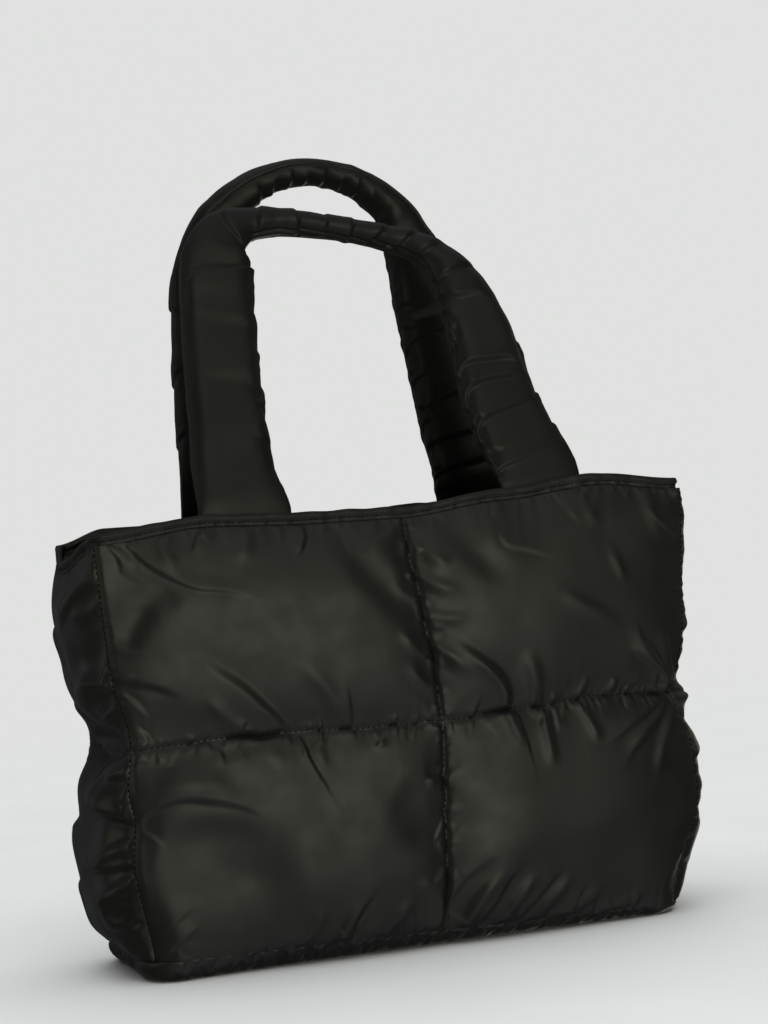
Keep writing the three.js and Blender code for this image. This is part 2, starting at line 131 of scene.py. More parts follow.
# The faces are flatter beside one side seam, apart from two folds that leave it. Below each of the two the
# cloth hangs slack: its crest by the share of the way to the seam, then its slope, its reach and its fade.
EDGE_FULLNESS = [
    Sway(0, 0.35),
    Sway(0.2, 0.35),
    Sway(0.32, 1),
    Sway(0.4, 1),
    Sway(0.47, 0.35),
    Sway(0.55, 0.35),
    Sway(0.64, 1),
    Sway(0.74, 1),
    Sway(0.84, 0.35),
    Sway(1, 0.35),
]
Slack = namedtuple("Slack", "crest slope reach fade")
LOWER_SLACK = Slack(
    [Sway(0.4, 0.25), Sway(0.6, 0.3), Sway(0.86, 0.37), Sway(1, 0.33)], 0.2, 70 * MM, 45 * MM)
UPPER_SLACK = Slack(
    [Sway(0.7, 0.58), Sway(0.82, 0.61), Sway(0.93, 0.655), Sway(1, 0.67)], 0.26, 26 * MM, 18 * MM)
SLACK_DEPTH, SLACK_SOFT = 1.2 * MM, 4 * MM

# One depth gives way to a lesser one in a soft turn, and a relief gets shallow in padding this thin
LEAST_DEPTH, TURN_SHARPNESS = 0.01 * MM, 6.0
THIN_PADDING = 0.3 * MM

# Folds of a panel. A path runs from -1 to 1 across the panel and from 0 at its foot to 1 at its head. Width
# and height are in millimetres. A fold has its crest to the left of its path and drops into a crease along
# it, or the other way round where the width is negative. Strength is how strong it is at its first point,
# which is 1 where it leaves a seam. Swells are soft ridges, or hollows where their height is negative.
Fold = namedtuple("Fold", "path width height strength")
FRONT_FOLDS = [
    # Upper left cell
    Fold([(-0.92, 1), (-0.85, 0.93), (-0.79, 0.89), (-0.72, 0.855), (-0.6, 0.835), (-0.4, 0.75)],
         2.4, 1.3, 1),
    Fold([(-0.97, 1), (-0.94, 0.96), (-0.93, 0.92)], 2.4, 1.6, 1),
    Fold([(-0.67, 1), (-0.69, 0.98), (-0.72, 0.94)], 2.6, 1.6, 1),
    Fold([(-0.33, 1), (-0.33, 0.97), (-0.35, 0.94), (-0.38, 0.92)], -2.6, 1.8, 1),
    Fold([(-0.5, 0.51), (-0.52, 0.54), (-0.57, 0.59), (-0.62, 0.64), (-0.69, 0.69), (-0.75, 0.75)],
         10, 3, 1),
    Fold([(-1, 0.67), (-0.93, 0.655), (-0.88, 0.64), (-0.82, 0.61)], 4.2, 2.6, 1),
    Fold([(-1, 0.67), (-0.95, 0.63), (-0.92, 0.58)], -3.4, 1.4, 1),
    Fold([(-0.31, 0.52), (-0.31, 0.56), (-0.31, 0.63)], 2, 0.8, 1),
    # Upper right cell
    Fold([(0.29, 0.51), (0.28, 0.55), (0.24, 0.6), (0.15, 0.67), (0.05, 0.74)], 7.5, 2.6, 1),
    Fold([(0.3, 0.93), (0.32, 0.89), (0.4, 0.87), (0.5, 0.84)], 2.2, 0.7, 0),
    Fold([(1, 0.545), (0.95, 0.56), (0.88, 0.6), (0.81, 0.64), (0.78, 0.68)], 3, 2.2, 1),
    Fold([(1, 0.55), (0.97, 0.58), (0.93, 0.64), (0.91, 0.68)], 3, 2, 1),
    Fold([(1, 0.54), (0.95, 0.545), (0.83, 0.58), (0.74, 0.61)], -3, 2.4, 1),
    Fold([(1, 0.53), (0.93, 0.53), (0.8, 0.525), (0.68, 0.515)], -2.6, 1.4, 1),
    Fold([(1, 0.87), (0.96, 0.88), (0.91, 0.9), (0.85, 0.94)], -3.4, 1.2, 1),
    # Lower right cell
    Fold([(1, 0.5), (0.95, 0.49), (0.84, 0.45), (0.71, 0.41), (0.61, 0.38)], -3.4, 1.8, 1),
    Fold([(1, 0.49), (0.96, 0.48), (0.85, 0.42), (0.74, 0.37), (0.66, 0.32)], -4, 1.6, 1),
    Fold([(0, 0.02), (0.03, 0.07), (0.08, 0.12), (0.2, 0.17)], 5, 2, 1),
    Fold([(0.15, 0.01), (0.2, 0.06), (0.24, 0.11), (0.32, 0.15)], 4.6, 2, 1),
    Fold([(0.3, 0), (0.36, 0.05), (0.41, 0.09), (0.45, 0.12)], 4.2, 1.6, 1),
    Fold([(1, 0.15), (0.97, 0.13), (0.9, 0.11)], 3.4, 1.4, 1),
    # Lower left cell
    Fold([(-1, 0.33), (-0.97, 0.34), (-0.92, 0.36), (-0.86, 0.37), (-0.79, 0.36), (-0.7, 0.34),
          (-0.6, 0.3)], 4.2, 3, 1),
    Fold([(-1, 0.33), (-0.95, 0.31), (-0.9, 0.27)], -3, 1.6, 1),
    Fold([(-0.77, 0.5), (-0.73, 0.48), (-0.71, 0.44)], -3.4, 1.4, 1),
    Fold([(-0.34, 0.01), (-0.33, 0.05), (-0.29, 0.09), (-0.21, 0.15)], 4.2, 1.8, 1),
    Fold([(-0.94, 0.03), (-0.89, 0.05), (-0.84, 0.08)], 3.4, 1.2, 1),
    Fold([(0, 0.385), (-0.04, 0.38), (-0.08, 0.375)], 2.6, 1.2, 1),
    Fold([(0, 0.235), (-0.05, 0.22)], 2.6, 1.2, 1),
]
FRONT_SWELLS = [
    # Upper left cell
    Fold([(-0.94, 0.92), (-0.84, 0.88), (-0.76, 0.82)], 8, -2.4, 0.5),
    Fold([(-0.86, 0.85), (-0.91, 0.8), (-0.96, 0.74)], 7, -2.4, 0.5),
    Fold([(-0.22, 0.97), (-0.16, 0.88), (-0.09, 0.81), (-0.01, 0.73)], 11, -3, 0.6),
    Fold([(-0.66, 0.51), (-0.72, 0.56), (-0.76, 0.62)], 5, 1.4, 1),
    Fold([(-0.34, 0.51), (-0.38, 0.6), (-0.46, 0.69)], 7, 1.4, 0.7),
    Fold([(-0.8, 1), (-0.79, 0.95), (-0.75, 0.9)], 5, 1.4, 1),
    Fold([(-0.52, 1), (-0.54, 0.95), (-0.59, 0.91)], 6, 1.4, 1),
    Fold([(0, 0.57), (-0.05, 0.6), (-0.11, 0.66)], 4.5, 1.6, 1),
    Fold([(0, 0.65), (-0.06, 0.69), (-0.11, 0.74)], 4.5, 1.4, 1),
    Fold([(0, 0.79), (-0.06, 0.82), (-0.1, 0.86)], 4, 1.2, 1),
    # Upper right cell
    Fold([(0.12, 1), (0.18, 0.93), (0.25, 0.86), (0.31, 0.79)], 10, -2.6, 0.6),
    Fold([(0.25, 0.51), (0.24, 0.56), (0.18, 0.62), (0.08, 0.68)], 5.5, 2, 1),
    Fold([(0.37, 0.51), (0.36, 0.58), (0.32, 0.65)], 6, 1.6, 1),
    Fold([(0, 0.69), (0.06, 0.66), (0.14, 0.6)], 5, 1.6, 1),
    Fold([(0, 0.86), (0.06, 0.83), (0.16, 0.8)], 5, 1.6, 1),
    Fold([(0, 0.93), (0.07, 0.9), (0.13, 0.86)], 5, 1.5, 1),
    Fold([(0, 0.77), (0.07, 0.75), (0.16, 0.74)], 4.5, 1.5, 1),
    Fold([(0.7, 0.85), (0.72, 0.81), (0.75, 0.76)], 4, 0.7, 0.3),
    Fold([(0.48, 0.77), (0.58, 0.72), (0.72, 0.66)], 5, 1, 0.3),
    Fold([(0.6, 1), (0.64, 0.95), (0.66, 0.89)], 5, 0.8, 1),
    Fold([(0.86, 1), (0.88, 0.93), (0.93, 0.86)], 6, 1, 1),
    Fold([(0.56, 0.51), (0.58, 0.56)], 4, 1, 1),
    Fold([(0.7, 0.51), (0.71, 0.55)], 4, 1.2, 1),
    # Lower right cell
    Fold([(1, 0.5), (0.9, 0.455), (0.78, 0.41), (0.68, 0.36)], 4, 1.4, 1),
    Fold([(1, 0.48), (0.92, 0.43), (0.84, 0.36), (0.79, 0.29)], 5, 1.6, 1),
    Fold([(0.25, 0.5), (0.27, 0.46), (0.3, 0.41)], 4.5, 1.4, 1),
    Fold([(0.39, 0.5), (0.39, 0.42), (0.39, 0.35)], 4.5, 1.5, 1),
    Fold([(0.56, 0.49), (0.58, 0.44), (0.6, 0.4)], 4.5, 1.4, 1),
    Fold([(0.08, 0.01), (0.12, 0.07), (0.22, 0.14)], 5.5, 2.4, 1),
    Fold([(0.21, 0), (0.27, 0.06), (0.35, 0.13)], 5, 2.2, 1),
    Fold([(0.34, 0), (0.41, 0.05), (0.5, 0.11)], 5, 2, 1),
    Fold([(0.46, 0), (0.55, 0.03), (0.66, 0.07)], 5, 1.8, 1),
    Fold([(0.66, 0), (0.75, 0.02), (0.86, 0.05)], 5, 1.4, 1),
    # Lower left cell
    Fold([(-1, 0.28), (-0.84, 0.295), (-0.7, 0.28), (-0.56, 0.24)], 12, -2.4, 1),
    Fold([(-0.64, 0.5), (-0.58, 0.45), (-0.5, 0.37)], 9, 1.4, 0.6),
    Fold([(-0.94, 0.43), (-0.81, 0.42), (-0.68, 0.385)], 10, 2.4, 0.6),
    Fold([(-0.2, 0.36), (-0.1, 0.28), (-0.04, 0.18)], 15, -2.4, 0.3),
    Fold([(-0.4, 0), (-0.36, 0.05), (-0.3, 0.11)], 5, 1.8, 1),
    Fold([(-0.23, 0.01), (-0.19, 0.05), (-0.11, 0.1)], 5, 1.8, 1),
    Fold([(-0.52, 0), (-0.48, 0.05), (-0.43, 0.1)], 5, 1.4, 1),
    Fold([(-0.44, 0.5), (-0.43, 0.45), (-0.4, 0.4)], 5, 1.2, 1),
    Fold([(-0.24, 0.5), (-0.22, 0.45)], 4, 1, 1),
    Fold([(0, 0.14), (-0.06, 0.12), (-0.13, 0.13)], 5, 1.4, 1),
]
BACK_FOLDS = [
    Fold([(-0.95, 1), (-0.85, 0.92), (-0.66, 0.86), (-0.45, 0.78)], 4.5, 2.4, 1),
    Fold([(0.95, 1), (0.8, 0.9), (0.62, 0.84)], 6, 1.8, 1),
    Fold([(0.3, 1), (0.28, 0.94), (0.33, 0.88)], 3.8, 1.7, 1),
    Fold([(1, 0.36), (0.85, 0.37), (0.7, 0.33), (0.56, 0.27)], 6.8, 3, 1),
    Fold([(0.4, 0.51), (0.36, 0.57), (0.24, 0.63), (0.1, 0.72)], -6, 2.4, 1),
    Fold([(-1, 0.53), (-0.87, 0.57), (-0.78, 0.62)], 4.5, 2.4, 1),
    Fold([(-1, 0.49), (-0.86, 0.45), (-0.7, 0.38)], 5.2, 2.6, 1),
    Fold([(-0.4, 0.5), (-0.44, 0.42), (-0.42, 0.36)], 3.8, 1.6, 1),
    Fold([(0.55, 0.5), (0.52, 0.43)], 3.8, 1.2, 1),
    Fold([(-0.3, 0.01), (-0.24, 0.09), (-0.15, 0.15)], 5.2, 2.4, 1),
    Fold([(-0.12, 0.01), (-0.08, 0.08)], 3.8, 1.8, 1),
    Fold([(0.35, 0.01), (0.3, 0.08), (0.22, 0.12)], 4.5, 2, 1),
    Fold([(0.7, 0.01), (0.64, 0.06)], 3.8, 1.2, 1),
]
BACK_SWELLS = [
    Fold([(0.9, 0.8), (0.7, 0.7), (0.45, 0.66)], 14, -3, 0.5),
    Fold([(-0.3, 0.9), (-0.5, 0.75), (-0.62, 0.62)], 14, -3, 0.5),
    Fold([(0.9, 0.25), (0.6, 0.2), (0.35, 0.22)], 18, -4, 0.5),
    Fold([(-0.85, 0.4), (-0.6, 0.3), (-0.4, 0.2)], 16, 3, 0.4),
]
# Across a gusset runs from -1 at the front to 1 at the back
GUSSET_FOLDS = [
    Fold([(-1, 0.9), (-0.6, 0.88), (-0.2, 0.83)], 6, 2, 1),
    Fold([(-1, 0.645), (-0.7, 0.64), (-0.3, 0.6), (0.2, 0.58)], 7, 4.4, 1),
    Fold([(-1, 0.6), (-0.7, 0.575), (-0.4, 0.565)], 5, 2.6, 1),
    Fold([(-1, 0.43), (-0.7, 0.44), (-0.2, 0.47)], 6, 3, 1),
    Fold([(-1, 0.33), (-0.7, 0.345), (-0.3, 0.375), (0.2, 0.38)], 7, 5, 1),
    Fold([(-1, 0.32), (-0.75, 0.3), (-0.5, 0.26)], -5, 2.6, 1),
    Fold([(-1, 0.225), (-0.6, 0.215), (0, 0.235)], 6, 4, 1),
    Fold([(-1, 0.1), (-0.7, 0.07), (-0.3, 0.07)], 6, 3.4, 1),
    Fold([(1, 0.86), (0.5, 0.84), (0.2, 0.8)], 7, 3, 1),
    Fold([(1, 0.66), (0.6, 0.63), (0.2, 0.6)], 7, 3.4, 1),
    Fold([(1, 0.36), (0.6, 0.34), (0.2, 0.36)], 8, 4, 1),
    Fold([(1, 0.2), (0.6, 0.18), (0.3, 0.12)], 7, 3.4, 1),
]
GUSSET_SWELLS = [
    Fold([(-1, 0.86), (-0.75, 0.85), (-0.45, 0.87)], 5, 2, 1),
    Fold([(-1, 0.665), (-0.75, 0.68), (-0.5, 0.7)], 4, 2, 1),
    Fold([(-1, 0.61), (-0.75, 0.59), (-0.5, 0.565)], 4, 2, 1),
    Fold([(-1, 0.47), (-0.75, 0.455), (-0.5, 0.43)], 4, 2.2, 1),
    Fold([(-1, 0.345), (-0.75, 0.365), (-0.45, 0.4)], 4.5, 2.6, 1),
    Fold([(-1, 0.28), (-0.7, 0.265), (-0.4, 0.235)], 5, 3, 1),
    Fold([(-1, 0.2), (-0.7, 0.17), (-0.5, 0.13)], 5, 2.6, 1),
    Fold([(-1, 0.07), (-0.75, 0.09), (-0.5, 0.13)], 4.5, 2.2, 1),
    Fold([(-1, 0.95), (-0.5, 0.9), (0, 0.93)], 12, 3, 0.6),
    Fold([(-1, 0.76), (-0.6, 0.74), (-0.1, 0.78)], 11, -3, 0.6),
    Fold([(-0.9, 0.68), (-0.5, 0.68), (0, 0.63)], 9, 2.4, 0.6),
    Fold([(-1, 0.385), (-0.6, 0.4), (0, 0.43)], 9, 3, 0.6),
    Fold([(-1, 0.27), (-0.6, 0.26), (-0.2, 0.29)], 9, -3.4, 0.6),
    Fold([(-1, 0.17), (-0.6, 0.15), (0, 0.16)], 10, 3, 0.6),
]
RIGHT_GUSSET_SHARE = 0.5

# Shape of every fold: shares of its height, multiples of its width and shares of its path
FOLD_CREST, FOLD_CREASE = 0.55, 0.45
FOLD_SOFT, FOLD_BEHIND = 5.5, 2.4
FOLD_REACH = 7
FOLD_STEPS = 5
FOLD_GROWN, FOLD_FADING = 0.3, 0.6

# How far from a seam folds and gathers have their full height, and billows start and have theirs
Margin = namedtuple("Margin", "folds gathers")
FACE_MARGIN = Margin(4 * MM, 2.5 * MM)
GUSSET_MARGIN = Margin(5 * MM, 3 * MM)
BASE_MARGIN = 4 * MM
BILLOW_MARGIN = (3 * MM, 18 * MM)

# Fine waves that a seam's thread draws into the cloth beside it. Along the seam they come in patches, and
# their reach, their lean and how they bunch change: over how many pitches, and by how much.
Pucker = namedtuple("Pucker", "pitch height reach")
Change = namedtuple("Change", "pitches size")
PUCKER_PATCHES, PATCH_LEVELS = 5, (-0.8, 0.9)
PUCKER_REACH, PUCKER_LEAN, PUCKER_BUNCHING = Change(2, 0.5), Change(9, 0.4), Change(4, 0.8)
QUILT_PUCKER = Pucker(3 * MM, 0.55 * MM, 6 * MM)
UPRIGHT_PUCKER = Pucker(3.2 * MM, 0.4 * MM, 5 * MM)
SIDE_PUCKER = Pucker(4 * MM, 0.6 * MM, 6 * MM)
GUSSET_PUCKER = Pucker(5 * MM, 0.5 * MM, 8 * MM)
HEM_PUCKER = Pucker(6 * MM, 0.5 * MM, 10 * MM)
BASE_PUCKER = Pucker(5 * MM, 0.5 * MM, 10 * MM)
STRAP_PUCKER = Pucker(12 * MM, 0.2 * MM, 8 * MM)

# Short gathers scattered along a seam: how far apart, and the least and most of length, width and depth,
# all in millimetres
Gathers = namedtuple("Gathers", "pitch length width depth")
QUILT_GATHERS = Gathers(7.5, (5, 22), (1.6, 2.6), (0.25, 1.1))
UPRIGHT_GATHERS = Gathers(9, (5, 20), (1.6, 2.6), (0.25, 1.1))
SIDE_GATHERS = Gathers(26, (10, 40), (1.6, 3.4), (0.2, 1.2))
GUSSET_GATHERS = Gathers(38, (14, 45), (3, 6), (0.2, 1))
HEM_GATHERS = Gathers(14, (6, 30), (1.6, 3.2), (0.2, 1.3))
BASE_GATHERS = Gathers(12, (6, 30), (1.6, 3), (0.3, 1.6))
STRAP_GATHERS = Gathers(8, (8, 26), (1.8, 3.6), (0.3, 1.6))
GATHER_SLANT = 0.6
GATHER_SCATTER = 0.35
GATHER_CHANCE = 0.75

# Broad random waves of loose cloth: how many run across each other, their pitch and their height
Billows = namedtuple("Billows", "count pitch height")
FACE_BILLOWS = Billows(6, (20 * MM, 55 * MM), 0.45 * MM)
GUSSET_BILLOWS = Billows(6, (14 * MM, 40 * MM), 0.9 * MM)
STRAP_BILLOWS = Billows(6, (10 * MM, 34 * MM), 0.6 * MM)

# The quilting thread draws the cloth in along a narrow groove and lets its line wander
Groove = namedtuple("Groove", "depth spread wander pitch")
QUILT_GROOVE = Groove(1.1 * MM, 2.2 * MM, 0.9 * MM, 12 * MM)
WANDER_REACH, WANDER_MARGIN = 9 * MM, 0.1
SIDE_GROOVE = Pull(2.2 * MM, 1.9 * MM)
RIGHT_GROOVE_SHARE = 0.2

# The hem: waves along it that fade out near its ends, and across it a thin lower and a full upper part with
# a dent where it is stitched. Places across it are shares of its height.
Wave = namedtuple("Wave", "height pitch")
HEM_STEP, HEM_FADE = 1.6 * MM, 20 * MM
HEM_CORNER, HEM_CORNER_POINTS = 7 * MM, 7
HEM_SIDES, HEM_SQUARENESS = 20, 3
HEM_WAVES = [Wave(0.35 * MM, 9 * MM), Wave(0.45 * MM, 31 * MM)]
HEM_FULLNESS = Wave(0.25, 7 * MM)
HEM_LIFT = Wave(0.5 * MM, 14 * MM)
HEM_CRIMP, HEM_CRIMP_FADE = Wave(0.5 * MM, 4 * MM), (0.3, 0.7)
HEM_THIN, HEM_FULL, HEM_TURN = 0.7, 1.2, (0.3, 0.6)
HEM_SEAM, HEM_DENT = 0.4, Pull(0.5, 0.1)
HEM_THREAD_OUT = 0.42

# Handles: the centre line above the hem, the strap's width in the handle's plane and its thickness. A
# fold's path goes round the strap, from a half turn at the outer side of the loop to a whole turn at the
# inner side across the front, and from 0 at its left foot to 1 at its right foot. The grip is closed with
# a row of stitches.
Station = namedtuple("Station", "x up width thick")
Handle = namedtuple("Handle", "lean stations folds seam")
GripSeam = namedtuple("GripSeam", "turn start end")
FRONT_HANDLE = Handle(0.25, [
    Station(-110, -20, 62, 5),
    Station(-110, 1, 65, 6),
    Station(-113, 28, 58, 12),
    Station(-112, 70, 55, 14),
    Station(-110, 115, 55, 14),
    Station(-107, 152, 54, 15),
    Station(-104, 178, 50, 17),
    Station(-95, 196, 39, 20),
    Station(-78, 205, 25, 22),
    Station(-52, 207, 18, 23),
    Station(-18, 203, 16, 23),
    Station(18, 195, 16, 23),
    Station(45, 184, 19, 22),
    Station(63, 169, 28, 20),
    Station(75, 147, 39, 17),
    Station(81, 124, 46, 15),
    Station(86, 100, 54, 14),
    Station(90, 66, 58, 14),
    Station(99, 35, 60, 12),
    Station(108, 8, 64, 6),
    Station(110, -18, 62, 5),
], [
    # Left leg
    Fold([(1, 0.237), (0.92, 0.225)], 3.4, 1.3, 1),
    Fold([(1, 0.194), (0.9, 0.175), (0.84, 0.165)], 4.2, 1.7, 1),
    Fold([(1, 0.134), (0.92, 0.15), (0.86, 0.16)], 3.4, 1.3, 1),
    Fold([(0.66, 0.2), (0.8, 0.185), (0.95, 0.155)], 11, 0.8, 0),
    Fold([(0.58, 0.265), (0.72, 0.262), (0.88, 0.245)], 10, 0.7, 0),
    Fold([(1, 0.27), (0.9, 0.285)], 3.4, 1.7, 1),
    Fold([(1, 0.345), (0.85, 0.345), (0.65, 0.325), (0.5, 0.3)], 5.1, 2.8, 1),
    Fold([(1, 0.36), (0.85, 0.37), (0.6, 0.365)], 4.2, 2.5, 1),
    # Grip
    Fold([(0.5, 0.395), (0.75, 0.388), (1, 0.385)], 3.4, 1.4, 0.6),
    Fold([(0.5, 0.435), (0.75, 0.426), (1, 0.418)], 3.4, 1.7, 0.6),
    Fold([(1, 0.484), (0.75, 0.482), (0.48, 0.478)], 3.8, 2.5, 1),
    Fold([(0.5, 0.513), (0.75, 0.512), (1, 0.51)], 3, 1.2, 0.6),
    Fold([(1, 0.548), (0.75, 0.55), (0.5, 0.553)], 3.4, 2, 1),
    Fold([(1, 0.572), (0.75, 0.588), (0.5, 0.6)], 4.2, 2.2, 1),
    Fold([(1, 0.605), (0.75, 0.62), (0.5, 0.635)], 3.8, 1.9, 1),
    Fold([(1, 0.635), (0.75, 0.65), (0.5, 0.665)], 4.2, 1.9, 1),
    Fold([(1, 0.69), (0.75, 0.69), (0.5, 0.7)], 4.2, 2, 1),
    Fold([(1, 0.715), (0.85, 0.72), (0.7, 0.735)], 5.1, 2.8, 1),
    # Right leg
    Fold([(1, 0.735), (0.93, 0.74), (0.84, 0.752)], 3.1, 1.8, 1),
    Fold([(1, 0.77), (0.92, 0.765), (0.82, 0.755)], 3.6, 2.1, 1),
    Fold([(1, 0.79), (0.93, 0.778), (0.88, 0.776)], 3.1, 2.1, 1),
    Fold([(1, 0.835), (0.88, 0.816), (0.76, 0.812), (0.66, 0.822)], 4, 2.8, 1),
    Fold([(1, 0.846), (0.9, 0.836), (0.78, 0.838)], 3.1, 1.8, 1),
    Fold([(1, 0.868), (0.9, 0.848), (0.74, 0.836), (0.54, 0.838)], 4.1, 2.5, 1),
    Fold([(1, 0.882), (0.9, 0.872), (0.82, 0.874)], 3.1, 1.8, 1),
    Fold([(1, 0.906), (0.9, 0.886), (0.78, 0.876), (0.6, 0.878)], 4.1, 2.4, 1),
    Fold([(1, 0.925), (0.9, 0.915), (0.76, 0.918)], 3.2, 1.8, 1),
    Fold([(1, 0.95), (0.86, 0.938), (0.7, 0.942)], 3.6, 1.7, 1),
    Fold([(0.5, 0.8), (0.58, 0.79), (0.66, 0.795)], 3.1, 1.4, 1),
    Fold([(0.5, 0.86), (0.6, 0.864)], 2.7, 1.3, 1),
    Fold([(0.5, 0.91), (0.62, 0.902)], 2.7, 1.3, 1),
], GripSeam(0.93, 0.38, 0.7))
BACK_HANDLE = Handle(0, [
    Station(-94, -20, 60, 5),
    Station(-94, 1, 62, 6),
    Station(-95, 30, 60, 12),
    Station(-96, 80, 60, 14),
    Station(-96, 130, 59, 14),
    Station(-95, 172, 55, 16),
    Station(-88, 207, 38, 22),
    Station(-65, 234, 24, 25),
    Station(-37, 246, 20, 26),
    Station(-6, 248, 19, 26),
    Station(24, 238, 21, 26),
    Station(49, 217, 28, 24),
    Station(63, 188, 42, 20),
    Station(73, 152, 53, 15),
    Station(83, 108, 59, 14),
    Station(92, 60, 61, 14),
    Station(101, 25, 62, 12),
    Station(104, 3, 62, 6),
    Station(105, -18, 60, 5),
], [
    # Left leg
    Fold([(0.5, 0.12), (0.65, 0.13), (0.8, 0.125)], 4.2, 1.6, 1),
    Fold([(0.5, 0.19), (0.62, 0.2), (0.75, 0.2)], 4.2, 1.8, 1),
    Fold([(0.5, 0.27), (0.65, 0.265), (0.8, 0.275)], 5.1, 1.8, 1),
    Fold([(1, 0.35), (0.8, 0.34), (0.6, 0.33)], 5.1, 2.7, 1),
    # Grip
    Fold([(1, 0.43), (0.88, 0.433), (0.72, 0.436)], 3, 1.8, 1),
    Fold([(1, 0.452), (0.88, 0.455), (0.72, 0.46)], 3, 1.8, 1),
    Fold([(1, 0.475), (0.86, 0.477), (0.7, 0.48)], 3.4, 2, 1),
    Fold([(1, 0.496), (0.88, 0.497), (0.74, 0.5)], 3, 1.6, 1),
    Fold([(1, 0.52), (0.86, 0.52), (0.7, 0.522)], 3.4, 2, 1),
    Fold([(1, 0.545), (0.88, 0.544), (0.72, 0.545)], 3, 1.8, 1),
    Fold([(1, 0.566), (0.86, 0.565), (0.7, 0.563)], 3.4, 2, 1),
    Fold([(1, 0.59), (0.86, 0.588), (0.72, 0.585)], 3, 1.8, 1),
    Fold([(1, 0.66), (0.8, 0.66), (0.6, 0.67)], 5.1, 2.6, 1),
    # Right leg
    Fold([(1, 0.735), (0.86, 0.728), (0.72, 0.735)], 3.6, 2, 1),
    Fold([(1, 0.752), (0.84, 0.758), (0.7, 0.75)], 3.6, 1.6, 1),
    Fold([(1, 0.79), (0.86, 0.776), (0.7, 0.768), (0.58, 0.772)], 4.1, 2.3, 1),
    Fold([(1, 0.812), (0.88, 0.805)], 3.1, 1.6, 1),
    Fold([(1, 0.83), (0.86, 0.818), (0.72, 0.815)], 4.1, 2.2, 1),
    Fold([(1, 0.852), (0.84, 0.854), (0.68, 0.842), (0.56, 0.845)], 4, 2, 1),
    Fold([(1, 0.88), (0.88, 0.868), (0.76, 0.87)], 3.6, 2, 1),
    Fold([(1, 0.9), (0.82, 0.892), (0.64, 0.9)], 4.1, 2.2, 1),
    Fold([(1, 0.925), (0.84, 0.922)], 3.2, 1.7, 1),
    Fold([(1, 0.94), (0.8, 0.93), (0.66, 0.932)], 4, 2, 1),
    Fold([(1, 0.962), (0.84, 0.955)], 3.1, 1.6, 1),
], GripSeam(0.67, 0.37, 0.66))

# A strap's cloth: its points, its section, and how its folds and gathers lie between the feet and edges
STRAP_SIDES = 48
STRAP_SAMPLES = 900
STRAP_GIRTH = 100 * MM
STRAP_SQUARENESS = 4.5
STRAP_FOLD_SHARE = 1.25
STRAP_SCALLOP = Wave(0.012, 12 * MM)
STRAP_SWELL = 1.6 * MM
STRAP_SEWN, STRAP_FOLDS_START = 4 * MM, (2 * MM, 14 * MM)
STRAP_EDGE_FADE, STRAP_BILLOW_MARGIN = (-1.5 * MM, 3 * MM), (2 * MM, 9 * MM)
STRAP_PATCHES, STRAP_PATCH_LEVEL = Wave(0.5, 26 * MM), 0.6
EDGE_GATHER_REACH, GRIP_GATHER_REACH = 0.6, 1.1
LEFT_LEG_GATHERS, RIGHT_LEG_GATHERS = 0.25, 0.6
LEG_CHANGE = (0.35, 0.6)
OUTER_EDGE_GATHERS = 0.3

# A strap is flat where it is as wide as the first of these, and a round grip where as narrow as the second
GRIP_TURN = (48 * MM, 26 * MM)
GRIP_GROOVE, GRIP_GROOVE_KNOTS = (1.4, -1.6), 6

# Cloth runs: slack is the spare length of the cloth, most of it gathered within reach of a seam
Cloth = namedtuple("Cloth", "frames pressure slack seam_slack reach bending")
FACE_CLOTH = Cloth(26, 0.8, 0.01, 0.014, 18 * MM, 0.08)
GUSSET_CLOTH = Cloth(26, 0.9, 0.015, 0.03, 22 * MM, 0.12)
BASE_CLOTH = Cloth(20, 0.6, 0.03, 0.1, 20 * MM, 0.1)
STRAP_CLOTH = Cloth(24, 0.25, 0.004, 0.02, 9 * MM, 0.08)
NYLON_CLOTH = {
    "quality": 5,
    "mass": 0.3,
    "tension_stiffness": 15,
    "compression_stiffness": 15,
    "shear_stiffness": 5,
    "tension_damping": 5,
    "compression_damping": 5,
    "air_damping": 2,
    "use_pressure": True,
}
CLOTH_SCALE = 10
GATHER_LEVELS = 20
START_ROUGHNESS = 0.15 * MM
START_SHARE = 0.6
PANEL_PATCHES, PANEL_PATCH_LEVEL = Wave(0.4, 45 * MM), 0.8
SMOOTHING, SMOOTH_MARGIN = 14, (2 * MM, 14 * MM)
SEAM_STEEPNESS = 0.95

# Stitches: separate lengths of thread that arch out of the cloth and thin out at their ends
Stitch = namedtuple("Stitch", "length gap radius")
QUILT_STITCH = Stitch(3 * MM, 0.9 * MM, 0.32 * MM)
HEM_STITCH = Stitch(2.6 * MM, 0.8 * MM, 0.3 * MM)
STITCH_RINGS, STITCH_SIDES = 6, 6
STITCH_ARCH, STITCH_SINK = 0.9, 0.25
STITCH_BLUNTNESS, STITCH_TIP = 6, 0.12

# Finishes of the cloth, and what mottles, crinkles and weaves it
Finish = namedtuple("Finish", "roughness gloss")
QUILT_FINISH = Finish(0.43, 0.5)
GUSSET_FINISH = Finish(0.35, 0.5)
BASE_FINISH = Finish(0.4, 0.5)
HEM_FINISH = Finish(0.5, 0.4)
HANDLE_FINISH = Finish(0.42, 0.3)
THREAD_FINISH = Finish(0.8, 0.15)
FLOOR_ROUGHNESS = 0.6
Noise = namedtuple("Noise", "scale detail distortion")
Tones = namedtuple("Tones", "dark light")
Bump = namedtuple("Bump", "strength distance")
NOISE_MIDDLE = (0.3, 0.7)
